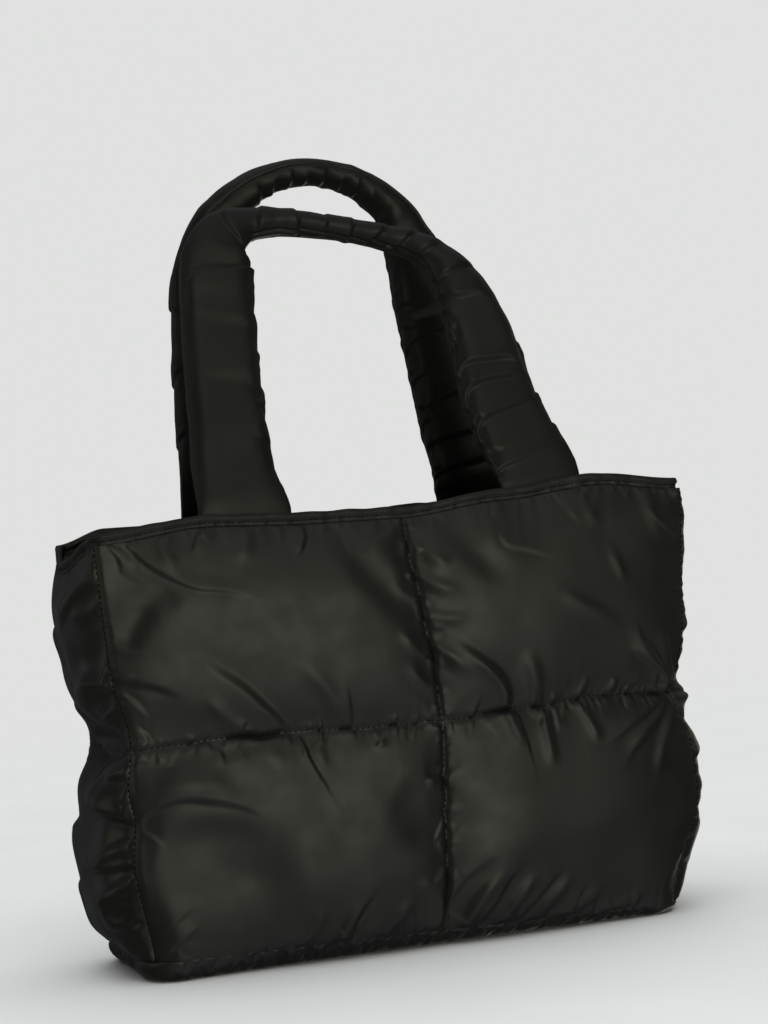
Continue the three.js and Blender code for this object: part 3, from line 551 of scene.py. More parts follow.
# Places of the two colours and of the result among the sockets of a colour mix
MIX_FIRST, MIX_SECOND, MIX_RESULT = 6, 7, 2
NYLON_MOTTLE, NYLON_TONES = Noise(26, 3, 0), Tones(0.82, 1.18)
NYLON_PATCHES, PATCH_ROUGHNESS = Noise(60, 2, 0), 0.05
CRINKLES, CRINKLE_BUMP = Noise(150, 4, 0.6), Bump(0.04, 0.9 * MM)
WEAVE_SCALE, WEAVE_BUMP = 320, Bump(0.12, 0.12 * MM)
SHEEN, SHEEN_ROUGHNESS = 0.04, 0.4
GLOSS_TINT = (0.98, 1, 0.94, 1)
TWIST, THREAD_TONES, TWIST_BUMP = Noise(900, 2, 0), Tones(0.7, 1.3), Bump(0.5, 0.1 * MM)
FLOOR_MOTTLE, FLOOR_TONES = Noise(6, 4, 0), Tones(0.96, 1)

# The camera's place relative to the bag, and its picture
CAMERA_TARGET = Vector((9.9 * MM, 0, 299.6 * MM))
CAMERA_DISTANCE = 1.5
CAMERA_AZIMUTH, CAMERA_ELEVATION, CAMERA_ROLL = -20.79, -0.88, -3.87
CAMERA_LENS, CAMERA_SENSOR = 73.83, 36

# The floor lies just under the bag and fades into the backdrop with distance, in wide soft daylight
FLOOR_HALF, FLOOR_DROP = 8, 0.3 * MM
FLOOR_FADE = (0.5, 2.6)
FLOOR_DAYLIGHT, DAYLIGHT_SPREAD = 2.7, 80
BACKDROP = (0.745, 0.755, 0.745, 1)

# Soft light comes from these parts of the room. Azimuth 0 is straight in front of the bag and grows to its
# right. Each glow is even within the inner angle and gone at the outer one.
Glow = namedtuple("Glow", "azimuth elevation inner outer strength colour")
WARM, COOL = (1, 1.01, 0.82), (0.92, 0.97, 1)
GLOWS = [
    Glow(8, 4, 3, 24, 2.05, WARM),
    Glow(9, 42, 3, 24, 0.6, WARM),
    Glow(15, -46, 10, 48, 0.34, COOL),
    Glow(0, 90, 15, 60, 0.35, COOL),
    Glow(105, 20, 8, 30, 0.22, WARM),
    Glow(-75, 12, 4, 26, 0.6, WARM),
    Glow(-130, 8, 4, 26, 0.16, COOL),
    Glow(142, -14, 4, 24, 0.85, WARM),
]
ROOM_LIGHT = 0.035


# Curves and profiles


def lerp(a, b, t):
    return a + (b - a) * t


def smoothstep(x, low, high):
    t = np.clip((x - low) / (high - low), 0, 1)
    return t * t * (3 - 2 * t)


def bell(distance, spread):
    return np.exp(-(distance / spread) ** 2)


def arch(t):
    return 1 - t * t


def soft_arch(t):
    """An arch that is level at both ends."""
    return arch(t) ** 2


def lesser(a, b):
    """The lesser of two depths, with a soft turn from one to the other."""
    a, b = np.maximum(a, LEAST_DEPTH), np.maximum(b, LEAST_DEPTH)
    return (a ** -TURN_SHARPNESS + b ** -TURN_SHARPNESS) ** (-1 / TURN_SHARPNESS)


def sway_value(rows, at):
    """Smooth shift at a place, read from a table of sways."""
    places = np.array([row.at for row in rows])
    shifts = np.array([row.shift for row in rows])
    last = np.clip(np.searchsorted(places, at, side="right") - 1, 0, len(rows) - 2)
    return lerp(shifts[last], shifts[last + 1], smoothstep(at, places[last], places[last + 1]))


def ripple(at, pitch, rng, is_gathered=False):
    """Smooth random wave along a line, between -1 and 1, with one random height for each pitch.

    A gathered wave goes up and down by turns.
    """
    place = (at - at.min()) / pitch
    heights = rng.uniform(-1, 1, int(place.max()) + 3)
    if is_gathered:
        heights = np.abs(heights) * np.where(np.arange(len(heights)) % 2, -1, 1)
    knot = np.floor(place).astype(int)
    return lerp(heights[knot], heights[knot + 1], smoothstep(place - knot, 0, 1))


def waved(along, wave, rng):
    return wave.height * ripple(along, wave.pitch, rng)


def lengths_along(line):
    """Length of a line of points up to each of them."""
    return np.concatenate([[0], np.cumsum(np.linalg.norm(np.diff(line, axis=0), axis=1))])


def pillow(a, b, edge):
    """Swell of one quilted cell, with both coordinates from -1 to 1 between its seams."""
    swells = [np.maximum(0, 1 - np.abs(t) ** PUFF_POWER) ** edge for t in (a, b)]
    return swells[0] * swells[1]


def smooth_line(knots, t):
    """Centripetal Catmull-Rom curve through the knots, at t from 0 to the last knot's number."""
    padded = np.vstack([2 * knots[:1] - knots[1:2], knots, 2 * knots[-1:] - knots[-2:-1]])
    at = np.clip(np.floor(t).astype(int), 0, len(knots) - 2)
    share = (t - at)[:, None]
    p0, p1, p2, p3 = (padded[at + i] for i in range(4))
    legs = (p1 - p0, p2 - p1, p3 - p2)
    d0, d1, d2 = (np.sqrt(np.linalg.norm(leg, axis=1))[:, None] for leg in legs)
    leave = d1 * ((p1 - p0) / d0 - (p2 - p0) / (d0 + d1) + (p2 - p1) / d1)
    arrive = d1 * ((p2 - p1) / d1 - (p3 - p1) / (d1 + d2) + (p3 - p2) / d2)
    square, cube = share ** 2, share ** 3
    return (
        p1 * (2 * cube - 3 * square + 1) + p2 * (3 * square - 2 * cube)
        + leave * (cube - 2 * square + share) + arrive * (cube - square)
    )


def nearest_on_line(points, line):
    """How far points lie to the left of a line of points, and how far along it from 0 to 1."""
    best = np.full(len(points), np.inf)
    aside, share = np.zeros(len(points)), np.zeros(len(points))
    for number, (start, end) in enumerate(zip(line, line[1:])):
        ahead = end - start
        place = np.clip((points - start) @ ahead / (ahead @ ahead), 0, 1)
        off = points - start - place[:, None] * ahead
        distance = np.hypot(off[:, 0], off[:, 1])
        closer = distance < best
        best[closer] = distance[closer]
        left = np.where(ahead[0] * off[:, 1] - ahead[1] * off[:, 0] < 0, -1, 1)
        aside[closer] = (left * distance)[closer]
        share[closer] = ((number + place) / (len(line) - 1))[closer]
    return aside, share


def fold_shape(aside, width):
    """Height across a fold: a crest on its soft side that drops steeply into a crease."""
    climb = lerp(-FOLD_CREASE, FOLD_CREST, smoothstep(aside, 0, width))
    fall = FOLD_CREST * (1 - smoothstep(aside, width, FOLD_SOFT * width))
    behind = -FOLD_CREASE * np.exp(np.minimum(aside, 0) / (FOLD_BEHIND * width))
    return np.where(aside > width, fall, np.where(aside > 0, climb, behind))


def fold_relief(fold, span, run, shape):
    """Height of one fold or swell at points of a panel, tapering along its path."""
    knots = np.array(fold.path, float) * span
    legs = len(knots) - 1
    line = smooth_line(knots, np.linspace(0, legs, FOLD_STEPS * legs + 1))
    width = abs(fold.width) * MM
    low, high = line.min(axis=0) - FOLD_REACH * width, line.max(axis=0) + FOLD_REACH * width
    near = np.all((run > low) & (run < high), axis=-1)
    aside, share = nearest_on_line(run[near], line)
    taper = lerp(fold.strength, 1, smoothstep(share, 0, FOLD_GROWN))
    taper = taper * (1 - smoothstep(share, FOLD_FADING, 1))
    relief = np.zeros(run.shape[:-1])
    relief[near] = fold.height * MM * taper * shape(aside * np.sign(fold.width), width)
    return relief


def folds_relief(folds, span, run, shape=fold_shape):
    return sum(fold_relief(fold, span, run, shape) for fold in folds)


def pressed(depth, relief):
    """Padding with a relief pressed into it, so that valleys get shallow where there is little padding."""
    least = np.maximum(depth, THIN_PADDING)
    return np.where(relief < 0, least * np.exp(np.minimum(relief, 0) / least), depth + relief)


def smooth_sheet(values, weight, rounds):
    """Evens out a grid of values where the weight is 1, and keeps them where it is 0."""
    for _ in range(rounds):
        middle = values.copy()
        below, above, left, right = values[:-2, 1:-1], values[2:, 1:-1], values[1:-1, :-2], values[1:-1, 2:]
        middle[1:-1, 1:-1] = (below + above + left + right) / 4
        values = lerp(values, middle, weight)
    return values


def puckers(along, off, kind, rng):
    """Height of fine waves beside a seam, stronger and longer in some places than in others."""

    def changing(change):
        return change.size * ripple(along, change.pitches * kind.pitch, rng)

    strength = smoothstep(ripple(along, PUCKER_PATCHES * kind.pitch, rng), *PATCH_LEVELS)
    reach = kind.reach * (1 + changing(PUCKER_REACH))
    lean = changing(PUCKER_LEAN)
    bunched = along + lean * off + kind.pitch * changing(PUCKER_BUNCHING)
    return kind.height * strength * ripple(bunched, kind.pitch, rng, True) * np.exp(-off / reach)


def billows(run, kind, rng):
    """Height of broad random waves that cross each other in all directions."""
    height = 0
    for _ in range(kind.count):
        angle, pitch = rng.uniform(0, math.pi), rng.uniform(*kind.pitch)
        along = run[..., 0] * math.cos(angle) + run[..., 1] * math.sin(angle)
        height = height + kind.height * ripple(along, pitch, rng)
    return height


def seam_gathers(start, end, way_in, gathers, rng):
    """Short folds from random places on a straight seam, with their paths in metres."""
    start, end, way_in = (np.array(pair, float) for pair in (start, end, way_in))
    length = np.hypot(*(end - start))
    along = (end - start) / length
    folds = []
    for place in np.arange(0.5, length / MM / gathers.pitch) * gathers.pitch * MM:
        foot = start + along * (place + rng.normal(0, GATHER_SCATTER * gathers.pitch) * MM)
        size = rng.random() ** 3
        tip = foot + lerp(*gathers.length, size) * MM * (way_in + along * rng.normal(0, GATHER_SLANT))
        depth = lerp(*gathers.depth, rng.random() ** 2)
        if rng.random() < GATHER_CHANCE:
            folds.append(Fold([foot, tip], lerp(*gathers.width, size), depth, 1))
    return folds


def cell_steps(bounds, step):
    """Positions about a step apart, with one on each bound."""
    at = [np.array(bounds[:1], float)]
    for low, high in zip(bounds, bounds[1:]):
        at.append(np.linspace(low, high, max(2, round((high - low) / step)) + 1)[1:])
    return np.concatenate(at)


# The bag's outline


class ToteForm:
    """The outline of the unpadded bag, worked out from the sizes that a user can change."""

    def __init__(self, sizes):
        self.sizes = sizes
        self.tall = sizes.height - sizes.base_seam
        self.quilt_share = self.height_share(sizes.quilt_line)

    def height_share(self, z):
        return (z - self.sizes.base_seam) / self.tall

    def half_depth(self, z):
        return lerp(self.sizes.base_depth, self.sizes.rim_depth, self.height_share(z)) / 2

    def corner_pull(self, z):
        """How far the upright seams draw in towards the rounded corners of the base."""
        return BASE_CORNER * (1 - math.sqrt(0.5)) * (1 - smoothstep(z, self.sizes.base_seam, CORNER_TOP))

    def corner_round(self, z, from_corner):
        """How far a wall draws in beside its upright seam."""
        return self.corner_pull(z) * np.maximum(0, 1 - from_corner / (BASE_CORNER * math.sqrt(0.5))) ** 2

    def half_width(self, z, side):
        """Half of the width at a height; the right seam bows out below the waist."""
        straight = lerp(self.sizes.base_width, self.sizes.rim_width, self.height_share(z)) / 2
        below = (z - self.sizes.base_seam) / (self.sizes.quilt_line - self.sizes.base_seam)
        bow = np.where(side > 0, RIGHT_BOW * np.sin(math.pi * np.clip(below, 0, 1)) ** 2, 0)
        from_waist = z - self.sizes.quilt_line
        left = LEFT_PINCH.depth * bell(z - LEFT_PINCH_HEIGHT, LEFT_PINCH.spread)
        pinch = np.where(side > 0, RIGHT_PINCH.depth * bell(from_waist, RIGHT_PINCH.spread), left)
        return straight + bow - pinch - WAIST.depth * bell(from_waist, WAIST.spread)

    def base_seam(self, x):
        return self.sizes.base_seam - BASE_SEAM_TILT * x / (self.sizes.base_width / 2)

    def hem_rise(self, x, side):
        return sway_value(RIM_SWAY if side == FRONT else BACK_RIM_SWAY, x)

    def face_top(self, x, side):
        return self.sizes.height - self.sizes.hem_height + self.hem_rise(x, side)

    def gusset_top(self, side, t):
        x = side * self.sizes.rim_width / 2
        level = lerp(self.face_top(x, FRONT), self.face_top(x, BACK), (t + 1) / 2)
        return level - GUSSET_RIM.droop * soft_arch(t)

    def cell_rows(self):
        """Rows of cloth points up a wall as shares of its height, and which of them lie on seams."""
        rows = cell_steps((0, self.quilt_share, 1), self.sizes.cloth_step / self.tall)
        return rows, [0, int(np.argmin(np.abs(rows - self.quilt_share))), len(rows) - 1]

    def from_quilting(self, v):
        return np.abs(v - self.quilt_share) * self.tall

    def from_level_seam(self, v):
        return np.minimum(np.minimum(v, 1 - v) * self.tall, self.from_quilting(v))

    def cell_place(self, v):
        """Place within the upper or lower cell, from -1 at its foot to 1 at its head."""
        upper = (v - self.quilt_share) / (1 - self.quilt_share)
        return lerp(-1, 1, np.where(v > self.quilt_share, upper, v / self.quilt_share))

    def face_sheet(self, u, v, side, layer):
        """Across and up of one layer of a face, before it is padded."""
        inset = layer * self.sizes.seam_thick / 2
        spread = arch(u)

        def across(z, up):
            wide = self.half_width(z, u) - self.corner_pull(z) - inset
            return u * wide + sway_value(UPRIGHT_SWAY, up) * spread

        foot = self.base_seam(across(self.sizes.base_seam, 0)) + inset
        head = self.face_top(across(self.sizes.height, 1), side)
        z = lerp(foot, head, v)
        return across(z, v), z

    def face_out(self, u, z, layer):
        straight = self.half_depth(z) - layer * self.sizes.seam_thick / 2
        return straight - self.corner_round(z, (1 - np.abs(u)) * self.half_width(z, u))

    def gusset_sheet(self, t, v, side, layer):
        """Across and up of one layer of a gusset, before it is padded."""
        inset = layer * self.sizes.seam_thick / 2
        foot = self.base_seam(side * self.sizes.base_width / 2) + inset
        z = lerp(foot, self.gusset_top(side, t), v)
        return t * (self.half_depth(z) - self.corner_pull(z) - inset), z

    def gusset_out(self, t, v, z, side, layer):
        tuck = GUSSET_TUCK.depth * bell(z - self.sizes.quilt_line, GUSSET_TUCK.spread)
        bow = GUSSET_RIM.bow * smoothstep(v, GUSSET_RIM.start, 1)
        straight = self.half_width(z, side) - layer * self.sizes.seam_thick / 2
        rounded = self.corner_round(z, (1 - np.abs(t)) * self.half_depth(z))
        return straight - rounded + (bow - tuck) * soft_arch(t)


# Meshes and cloth


def grid_quads(rows, columns, closes=False, loops=False):
    """Quads of a grid of points, joined into a tube where it closes and into a ring where it loops."""
    index = np.arange(rows * columns).reshape(rows, columns)
    if closes:
        index = np.hstack([index, index[:, :1]])
    if loops:
        index = np.vstack([index, index[:1]])
    corners = (index[:-1, :-1], index[:-1, 1:], index[1:, 1:], index[1:, :-1])
    return np.stack(corners, -1).reshape(-1, 4)


def add_piece(name, points, quads, material, run=None, caps=()):
    """A smooth closed mesh with its faces turned outwards.

    run holds each point's place on the flat cloth.
    """
    a, b, c, d = (points[quads[:, i]] for i in range(4))
    volume = np.sum(a * np.cross(b, c)) + np.sum(a * np.cross(c, d))
    faces = quads.tolist() + [list(cap) for cap in caps]
    if volume < 0:
        faces = [face[::-1] for face in faces]
    mesh = bpy.data.meshes.new(name)
    mesh.from_pydata(points.tolist(), [], faces)
    mesh.polygons.foreach_set("use_smooth", [True] * len(faces))
    mesh.set_sharp_from_angle(angle=math.radians(SHARP_ANGLE))
    if run is not None:
        flat = np.zeros((len(points), 3), np.float32)
        flat[:, :2] = run
        mesh.attributes.new("cloth_run", "FLOAT_VECTOR", "POINT").data.foreach_set("vector", flat.ravel())
    mesh.materials.append(material)
    piece = bpy.data.objects.new(name, mesh)
    bpy.context.scene.collection.objects.link(piece)
    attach(piece, "root")
    return piece


def border_ring(rows, columns):
    """Numbers of a grid's border points, once round."""
    index = np.arange(rows * columns).reshape(rows, columns)
    return np.concatenate([index[0], index[1:, -1], index[-1, -2::-1], index[-2:0:-1, 0]])


def padded_panel(name, outer, inner, run, material):
    """A closed panel: a fine outer sheet and an inner one with half as many points each way."""
    count = outer.shape[0] * outer.shape[1]
    fine = border_ring(*outer.shape[:2])
    coarse = border_ring(*inner.shape[:2]) + count
    ahead = np.roll(fine, -2)
    border = np.stack([fine[::2], coarse, np.roll(coarse, -1), ahead[::2], fine[1::2]], -1)
    quads = np.concatenate([grid_quads(*outer.shape[:2]), grid_quads(*inner.shape[:2])[:, ::-1] + count])
    points = np.concatenate([outer.reshape(-1, 3), inner.reshape(-1, 3)])
    flat = np.concatenate([run.reshape(-1, 2), run[::2, ::2].reshape(-1, 2)])
    return add_piece(name, points, quads, material, flat, border.tolist())


def refine(values, breaks):
    """Doubles the points along the first axis, smoothly between the breaks and creased at them."""
    parts = []
    for low, high in zip(breaks, breaks[1:]):
        part = values[low:high + 1]
        wide = np.concatenate([2 * part[:1] - part[1:2], part, 2 * part[-1:] - part[-2:-1]])
        fine = np.empty((2 * len(part) - 1, *part.shape[1:]))
        fine[::2] = part
        fine[1::2] = (9 * (wide[1:-2] + wide[2:-1]) - wide[:-3] - wide[3:]) / 16
        parts.append(fine[1:] if parts else fine)
    return np.concatenate(parts)


def refine_sheet(sheet, row_breaks, column_breaks):
    """Doubles a grid of points both ways."""
    tall = refine(sheet, row_breaks)
    return refine(tall.swapaxes(0, 1), column_breaks).swapaxes(0, 1)


def settle_cloth(points, quads, sewn, gathered, cloth):
    """Lets sewn cloth swell and wrinkle, and returns its points once it has settled.

    sewn marks the points that stay; gathered runs from 0 to 1, where the cloth has most spare length.
    """
    scene = bpy.context.scene
    mesh = bpy.data.meshes.new("settling")
    mesh.from_pydata((points * CLOTH_SCALE).tolist(), [], quads.tolist())
    swatch = bpy.data.objects.new("settling", mesh)
    scene.collection.objects.link(swatch)
    seams = swatch.vertex_groups.new(name="seams")
    seams.add(np.nonzero(sewn)[0].tolist(), 1, "REPLACE")
    gathers = swatch.vertex_groups.new(name="gathers")
    levels = np.round(gathered * GATHER_LEVELS).astype(int)
    for level in range(1, GATHER_LEVELS + 1):
        gathers.add(np.nonzero(levels == level)[0].tolist(), level / GATHER_LEVELS, "REPLACE")

    modifier = swatch.modifiers.new("cloth", "CLOTH")
    settings = modifier.settings
    for key, value in NYLON_CLOTH.items():
        setattr(settings, key, value)
    settings.bending_stiffness = cloth.bending
    settings.vertex_group_mass = seams.name
    settings.vertex_group_shrink = gathers.name
    settings.shrink_min = -cloth.slack
    settings.shrink_max = -cloth.seam_slack
    settings.uniform_pressure_force = cloth.pressure
    settings.effector_weights.gravity = 0
    modifier.point_cache.frame_start = 1
    modifier.point_cache.frame_end = cloth.frames
    for number in range(1, cloth.frames + 1):
        scene.frame_set(number)
    settled = swatch.evaluated_get(bpy.context.evaluated_depsgraph_get())
    moved = np.empty(len(points) * 3, np.float32)
    settled.data.vertices.foreach_get("co", moved)
    bpy.data.objects.remove(swatch)
    bpy.data.meshes.remove(mesh)
    scene.frame_set(1)
    return moved.reshape(-1, 3).astype(float) / CLOTH_SCALE


def settle_panel(across, depth, up, sewn, from_seam, cloth, rng):
    """Settles a flat panel: across and up lie in its plane, depth is how far it swells."""
    shape = across.shape
    rough = rng.normal(0, START_ROUGHNESS, shape)
    points = np.stack([across, -depth - rough * ~sewn, up], -1).reshape(-1, 3)
    patches = PANEL_PATCH_LEVEL + (
        waved(across.ravel(), PANEL_PATCHES, rng) * ripple(up.ravel(), PANEL_PATCHES.pitch, rng))
    gathered = np.clip(bell(from_seam.ravel(), cloth.reach) * patches, 0, 1)
    moved = settle_cloth(points, grid_quads(*shape), sewn.ravel(), gathered, cloth).reshape(*shape, 3)
    moved[..., 1] = smooth_sheet(moved[..., 1], smoothstep(from_seam, *SMOOTH_MARGIN), SMOOTHING)
    return moved * (1, -1, 1)


# Pieces


def quilted_face(form, name, side, folds, swells, material):
    """One face, a single cloth quilted into two by two cells, and its seams with the way each is turned."""
    sizes = form.sizes
    rng = np.random.default_rng(SEEDS[name])
    half, tall = sizes.rim_width / 2, form.tall
    columns = cell_steps((-1, 0, 1), sizes.cloth_step / half)
    column_breaks = [0, len(columns) // 2, len(columns) - 1]
    rows, row_breaks = form.cell_rows()

    def from_seams(u, v):
        return np.minimum(np.minimum(np.abs(u), 1 - np.abs(u)) * half, form.from_level_seam(v))

    u, v = np.meshgrid(columns, rows)
    from_seam = from_seams(u, v)
    swell = pillow(2 * np.abs(u) - 1, form.cell_place(v), FACE_EDGE)
    start = START_SHARE * sizes.face_puff * swell
    x, z = form.face_sheet(u, v, side, OUTER)
    cloth = settle_panel(x, start, z, from_seam < ON_SEAM, from_seam, FACE_CLOTH, rng)
    x, z = form.face_sheet(u, v, side, INNER)
    below_hem = 1 - smoothstep(z, *(sizes.height - drop for drop in LINING_FLAT))
    inner = np.stack([x, side * (form.face_out(u, z, INNER) - LINING_PUFF * swell * below_hem), z], -1)

    x, depth, z = np.moveaxis(refine_sheet(cloth, row_breaks, column_breaks), -1, 0)
    u, v = np.meshgrid(refine(columns, column_breaks), refine(rows, row_breaks))
    run = np.stack([u * half, v * tall], -1)
    from_seam = from_seams(u, v)
    from_middle, from_quilting = np.abs(u) * half, form.from_quilting(v)
    depth = slackened(form, swell_to(depth, sizes.face_puff), u * side, v)
    relief = folds_relief(swells, (half, tall), run, bell) + folds_relief(folds, (half, tall), run)
    depth = pressed(depth, smoothstep(from_seam, 0, FACE_MARGIN.folds) * relief)
    depth = depth + smoothstep(from_seam, *BILLOW_MARGIN) * billows(run, FACE_BILLOWS, rng)
    relief = face_gathers(form, run, half, rng)
    depth = pressed(depth, smoothstep(from_seam, 0, FACE_MARGIN.gathers) * relief)
    depth = depth - QUILT_GROOVE.depth * bell(np.minimum(from_middle, from_quilting), QUILT_GROOVE.spread)
    bow_power = np.where(v > 0.5, FACE_BOW.head_power, FACE_BOW.foot_power)
    depth = depth + FACE_BOW.depth * arch(u) * (1 - np.abs(2 * v - 1) ** bow_power)
    depth = depth - side_seam_pull((1 - np.abs(u)) * half, u)

    aside, upwards = (
        QUILT_GROOVE.wander * ripple(run[..., way], QUILT_GROOVE.pitch, rng) for way in (1, 0))
    inland = smoothstep(np.minimum(1 - np.abs(u), np.minimum(v, 1 - v)), 0, WANDER_MARGIN)
    x = x + inland * aside * bell(from_middle, WANDER_REACH)
    z = z + inland * upwards * bell(from_quilting, WANDER_REACH)
    outer = np.stack([x, side * (form.face_out(u, z, OUTER) + depth), z], -1)
    piece = padded_panel(name, outer, inner, run, material)
    quilting, upright = outer[2 * row_breaks[1]], outer[:, 2 * column_breaks[1]]
    return piece, [(quilting, 0), (upright, 0), (outer[:, 0], LEFT), (outer[:, -1], RIGHT)]


def swell_to(depth, puff):
    """Scales a settled depth to the wanted puff, a little steeper at the seams."""
    share = np.maximum(depth / np.percentile(depth, FULL_PUFF_PERCENT), 0)
    return puff * share ** SEAM_STEEPNESS


def slackened(form, depth, towards, v):
    """Depth of a face that lies flatter and hangs slack beside one side seam, where towards is 1."""
    puff = form.sizes.face_puff
    from_side = (1 - towards) * form.sizes.rim_width / 2
    depth = depth * lerp(sway_value(EDGE_FULLNESS, v), 1, smoothstep(from_side, 0, FLAT_REACH))
    for slack, is_there in ((LOWER_SLACK, v < form.quilt_share), (UPPER_SLACK, v > form.quilt_share)):
        crest = sway_value(slack.crest, towards) * form.tall
        above = v * form.tall - crest + (puff - SLACK_DEPTH) / slack.slope
        most = SLACK_DEPTH + slack.slope * SLACK_SOFT * np.logaddexp(0, above / SLACK_SOFT)
        share = is_there * (1 - smoothstep(from_side, slack.reach, slack.reach + slack.fade))
        depth = lerp(depth, lesser(depth, most), share)
    return depth


def face_gathers(form, run, half, rng):
    """Height of the gathers and puckers beside all the seams of a face."""
    tall, quilt = form.tall, form.quilt_share * form.tall
    gathers = []
    for foot, way_in, kind in (
        (quilt, 1, QUILT_GATHERS), (quilt, -1, QUILT_GATHERS),
        (tall, -1, HEM_GATHERS), (0, 1, BASE_GATHERS),
    ):
        gathers += seam_gathers((-half, foot), (half, foot), (0, way_in), kind, rng)
    for foot, way_in, kind in (
        (0, 1, UPRIGHT_GATHERS), (0, -1, UPRIGHT_GATHERS),
        (half, -1, SIDE_GATHERS), (-half, 1, SIDE_GATHERS),
    ):
        gathers += seam_gathers((foot, 0), (foot, tall), (way_in, 0), kind, rng)
    x, up = run[..., 0], run[..., 1]
    fine = 0
    for along, off, kind in ((x, up - quilt, QUILT_PUCKER), (up, x, UPRIGHT_PUCKER)):
        near, far = (puckers(along, np.abs(off), kind, rng) for _ in range(2))
        fine = fine + np.where(off > 0, near, far)
    for along, off, kind in (
        (x, tall - up, HEM_PUCKER), (x, up, BASE_PUCKER),
        (up, half - x, SIDE_PUCKER), (up, half + x, SIDE_PUCKER),
    ):
        fine = fine + puckers(along, off, kind, rng)
    return folds_relief(gathers, 1, run) + fine


def side_seam_pull(from_side, side):
    """How far a side seam's thread draws the cloth in, less on the right."""
    share = np.where(side > 0, RIGHT_GROOVE_SHARE, 1)
    return share * SIDE_GROOVE.depth * bell(from_side, SIDE_GROOVE.spread)


def gathered_gusset(form, name, side, puffs, fold_share, edge, material):
    """One side wall: two padded cells, drawn inwards along the quilting seam."""
    sizes = form.sizes
    rng = np.random.default_rng(SEEDS[name])
    half, tall = sizes.base_depth / 2, form.tall
    columns = cell_steps((-1, 1), sizes.cloth_step / half)
    column_breaks = [0, len(columns) - 1]
    rows, row_breaks = form.cell_rows()

    t, v = np.meshgrid(columns, rows)
    is_upper = v > form.quilt_share
    from_seam = np.minimum((1 - np.abs(t)) * half, form.from_level_seam(v))
    place = form.cell_place(v)
    swell = pillow(t, place + np.where(is_upper, 0, GUSSET_SAG * arch(place)), GUSSET_EDGE)
    start = START_SHARE * np.where(is_upper, puffs[1], puffs[0]) * swell
    across, z = form.gusset_sheet(t, v, side, OUTER)
    cloth = settle_panel(across, start, z, from_seam < ON_SEAM, from_seam, GUSSET_CLOTH, rng)
    across, z = form.gusset_sheet(t, v, side, INNER)
    inner = np.stack([side * form.gusset_out(t, v, z, side, INNER), across, z], -1)

    across, depth, z = np.moveaxis(refine_sheet(cloth, row_breaks, column_breaks), -1, 0)
    t, v = np.meshgrid(refine(columns, column_breaks), refine(rows, row_breaks))
    run = np.stack([t * half, v * tall], -1)
    from_side = (1 - np.abs(t)) * half
    from_seam = np.minimum(from_side, form.from_level_seam(v))
    is_upper = v > form.quilt_share
    for cell, puff in ((~is_upper, puffs[0]), (is_upper, puffs[1])):
        depth[cell] = swell_to(depth[cell], puff)
    depth = depth * lerp(edge.share, 1, smoothstep(from_side, 0, edge.reach))
    if side == RIGHT:
        knots = bell(form.from_quilting(v), RIGHT_KNOT.spread)
        knots = knots * bell(from_side - RIGHT_KNOT.place, RIGHT_KNOT.width)
        depth = depth + RIGHT_KNOT.height * knots * smoothstep(from_side, 0, GUSSET_MARGIN.folds)
    span = half, tall
    relief = folds_relief(GUSSET_SWELLS, span, run, bell) + folds_relief(GUSSET_FOLDS, span, run)
    depth = pressed(depth, smoothstep(from_seam, 0, GUSSET_MARGIN.folds) * fold_share * relief)
    depth = depth + smoothstep(from_seam, *BILLOW_MARGIN) * billows(run, GUSSET_BILLOWS, rng)
    quilt = form.quilt_share * tall
    gathers = []
    for foot, way_in in ((-half, 1), (half, -1)):
        gathers += seam_gathers((foot, 0), (foot, tall), (way_in, 0), GUSSET_GATHERS, rng)
    for foot, way_in in ((quilt, 1), (quilt, -1), (tall, -1), (0, 1)):
        gathers += seam_gathers((-half, foot), (half, foot), (0, way_in), HEM_GATHERS, rng)
    fine = sum(puckers(run[..., 1], (1 + way * t) * half, GUSSET_PUCKER, rng) for way in (-1, 1))
    relief = folds_relief(gathers, 1, run) + fine
    depth = pressed(depth, smoothstep(from_seam, 0, GUSSET_MARGIN.gathers) * fold_share * relief)
    across = across - np.sign(t) * side_seam_pull(from_side, side)
    outer = np.stack([side * (form.gusset_out(t, v, z, side, OUTER) + depth), across, z], -1)
    return padded_panel(name, outer, inner, run, material)


def rounded_edge(x, y, half_x, half_y, corner):
    """How far inside a rectangle with rounded corners points lie, and the way out to its border."""
    past_x, past_y = np.abs(x) - (half_x - corner), np.abs(y) - (half_y - corner)
    round_x, round_y = np.maximum(past_x, 0), np.maximum(past_y, 0)
    reach = np.hypot(round_x, round_y)
    inside = corner - reach - np.minimum(np.maximum(past_x, past_y), 0)
    at_corner = (past_x > 0) & (past_y > 0)
    span = np.maximum(reach, TINY)
    out_x = np.sign(x) * np.where(at_corner, round_x / span, past_x > past_y)
    out_y = np.sign(y) * np.where(at_corner, round_y / span, past_x <= past_y)
    return inside, out_x, out_y


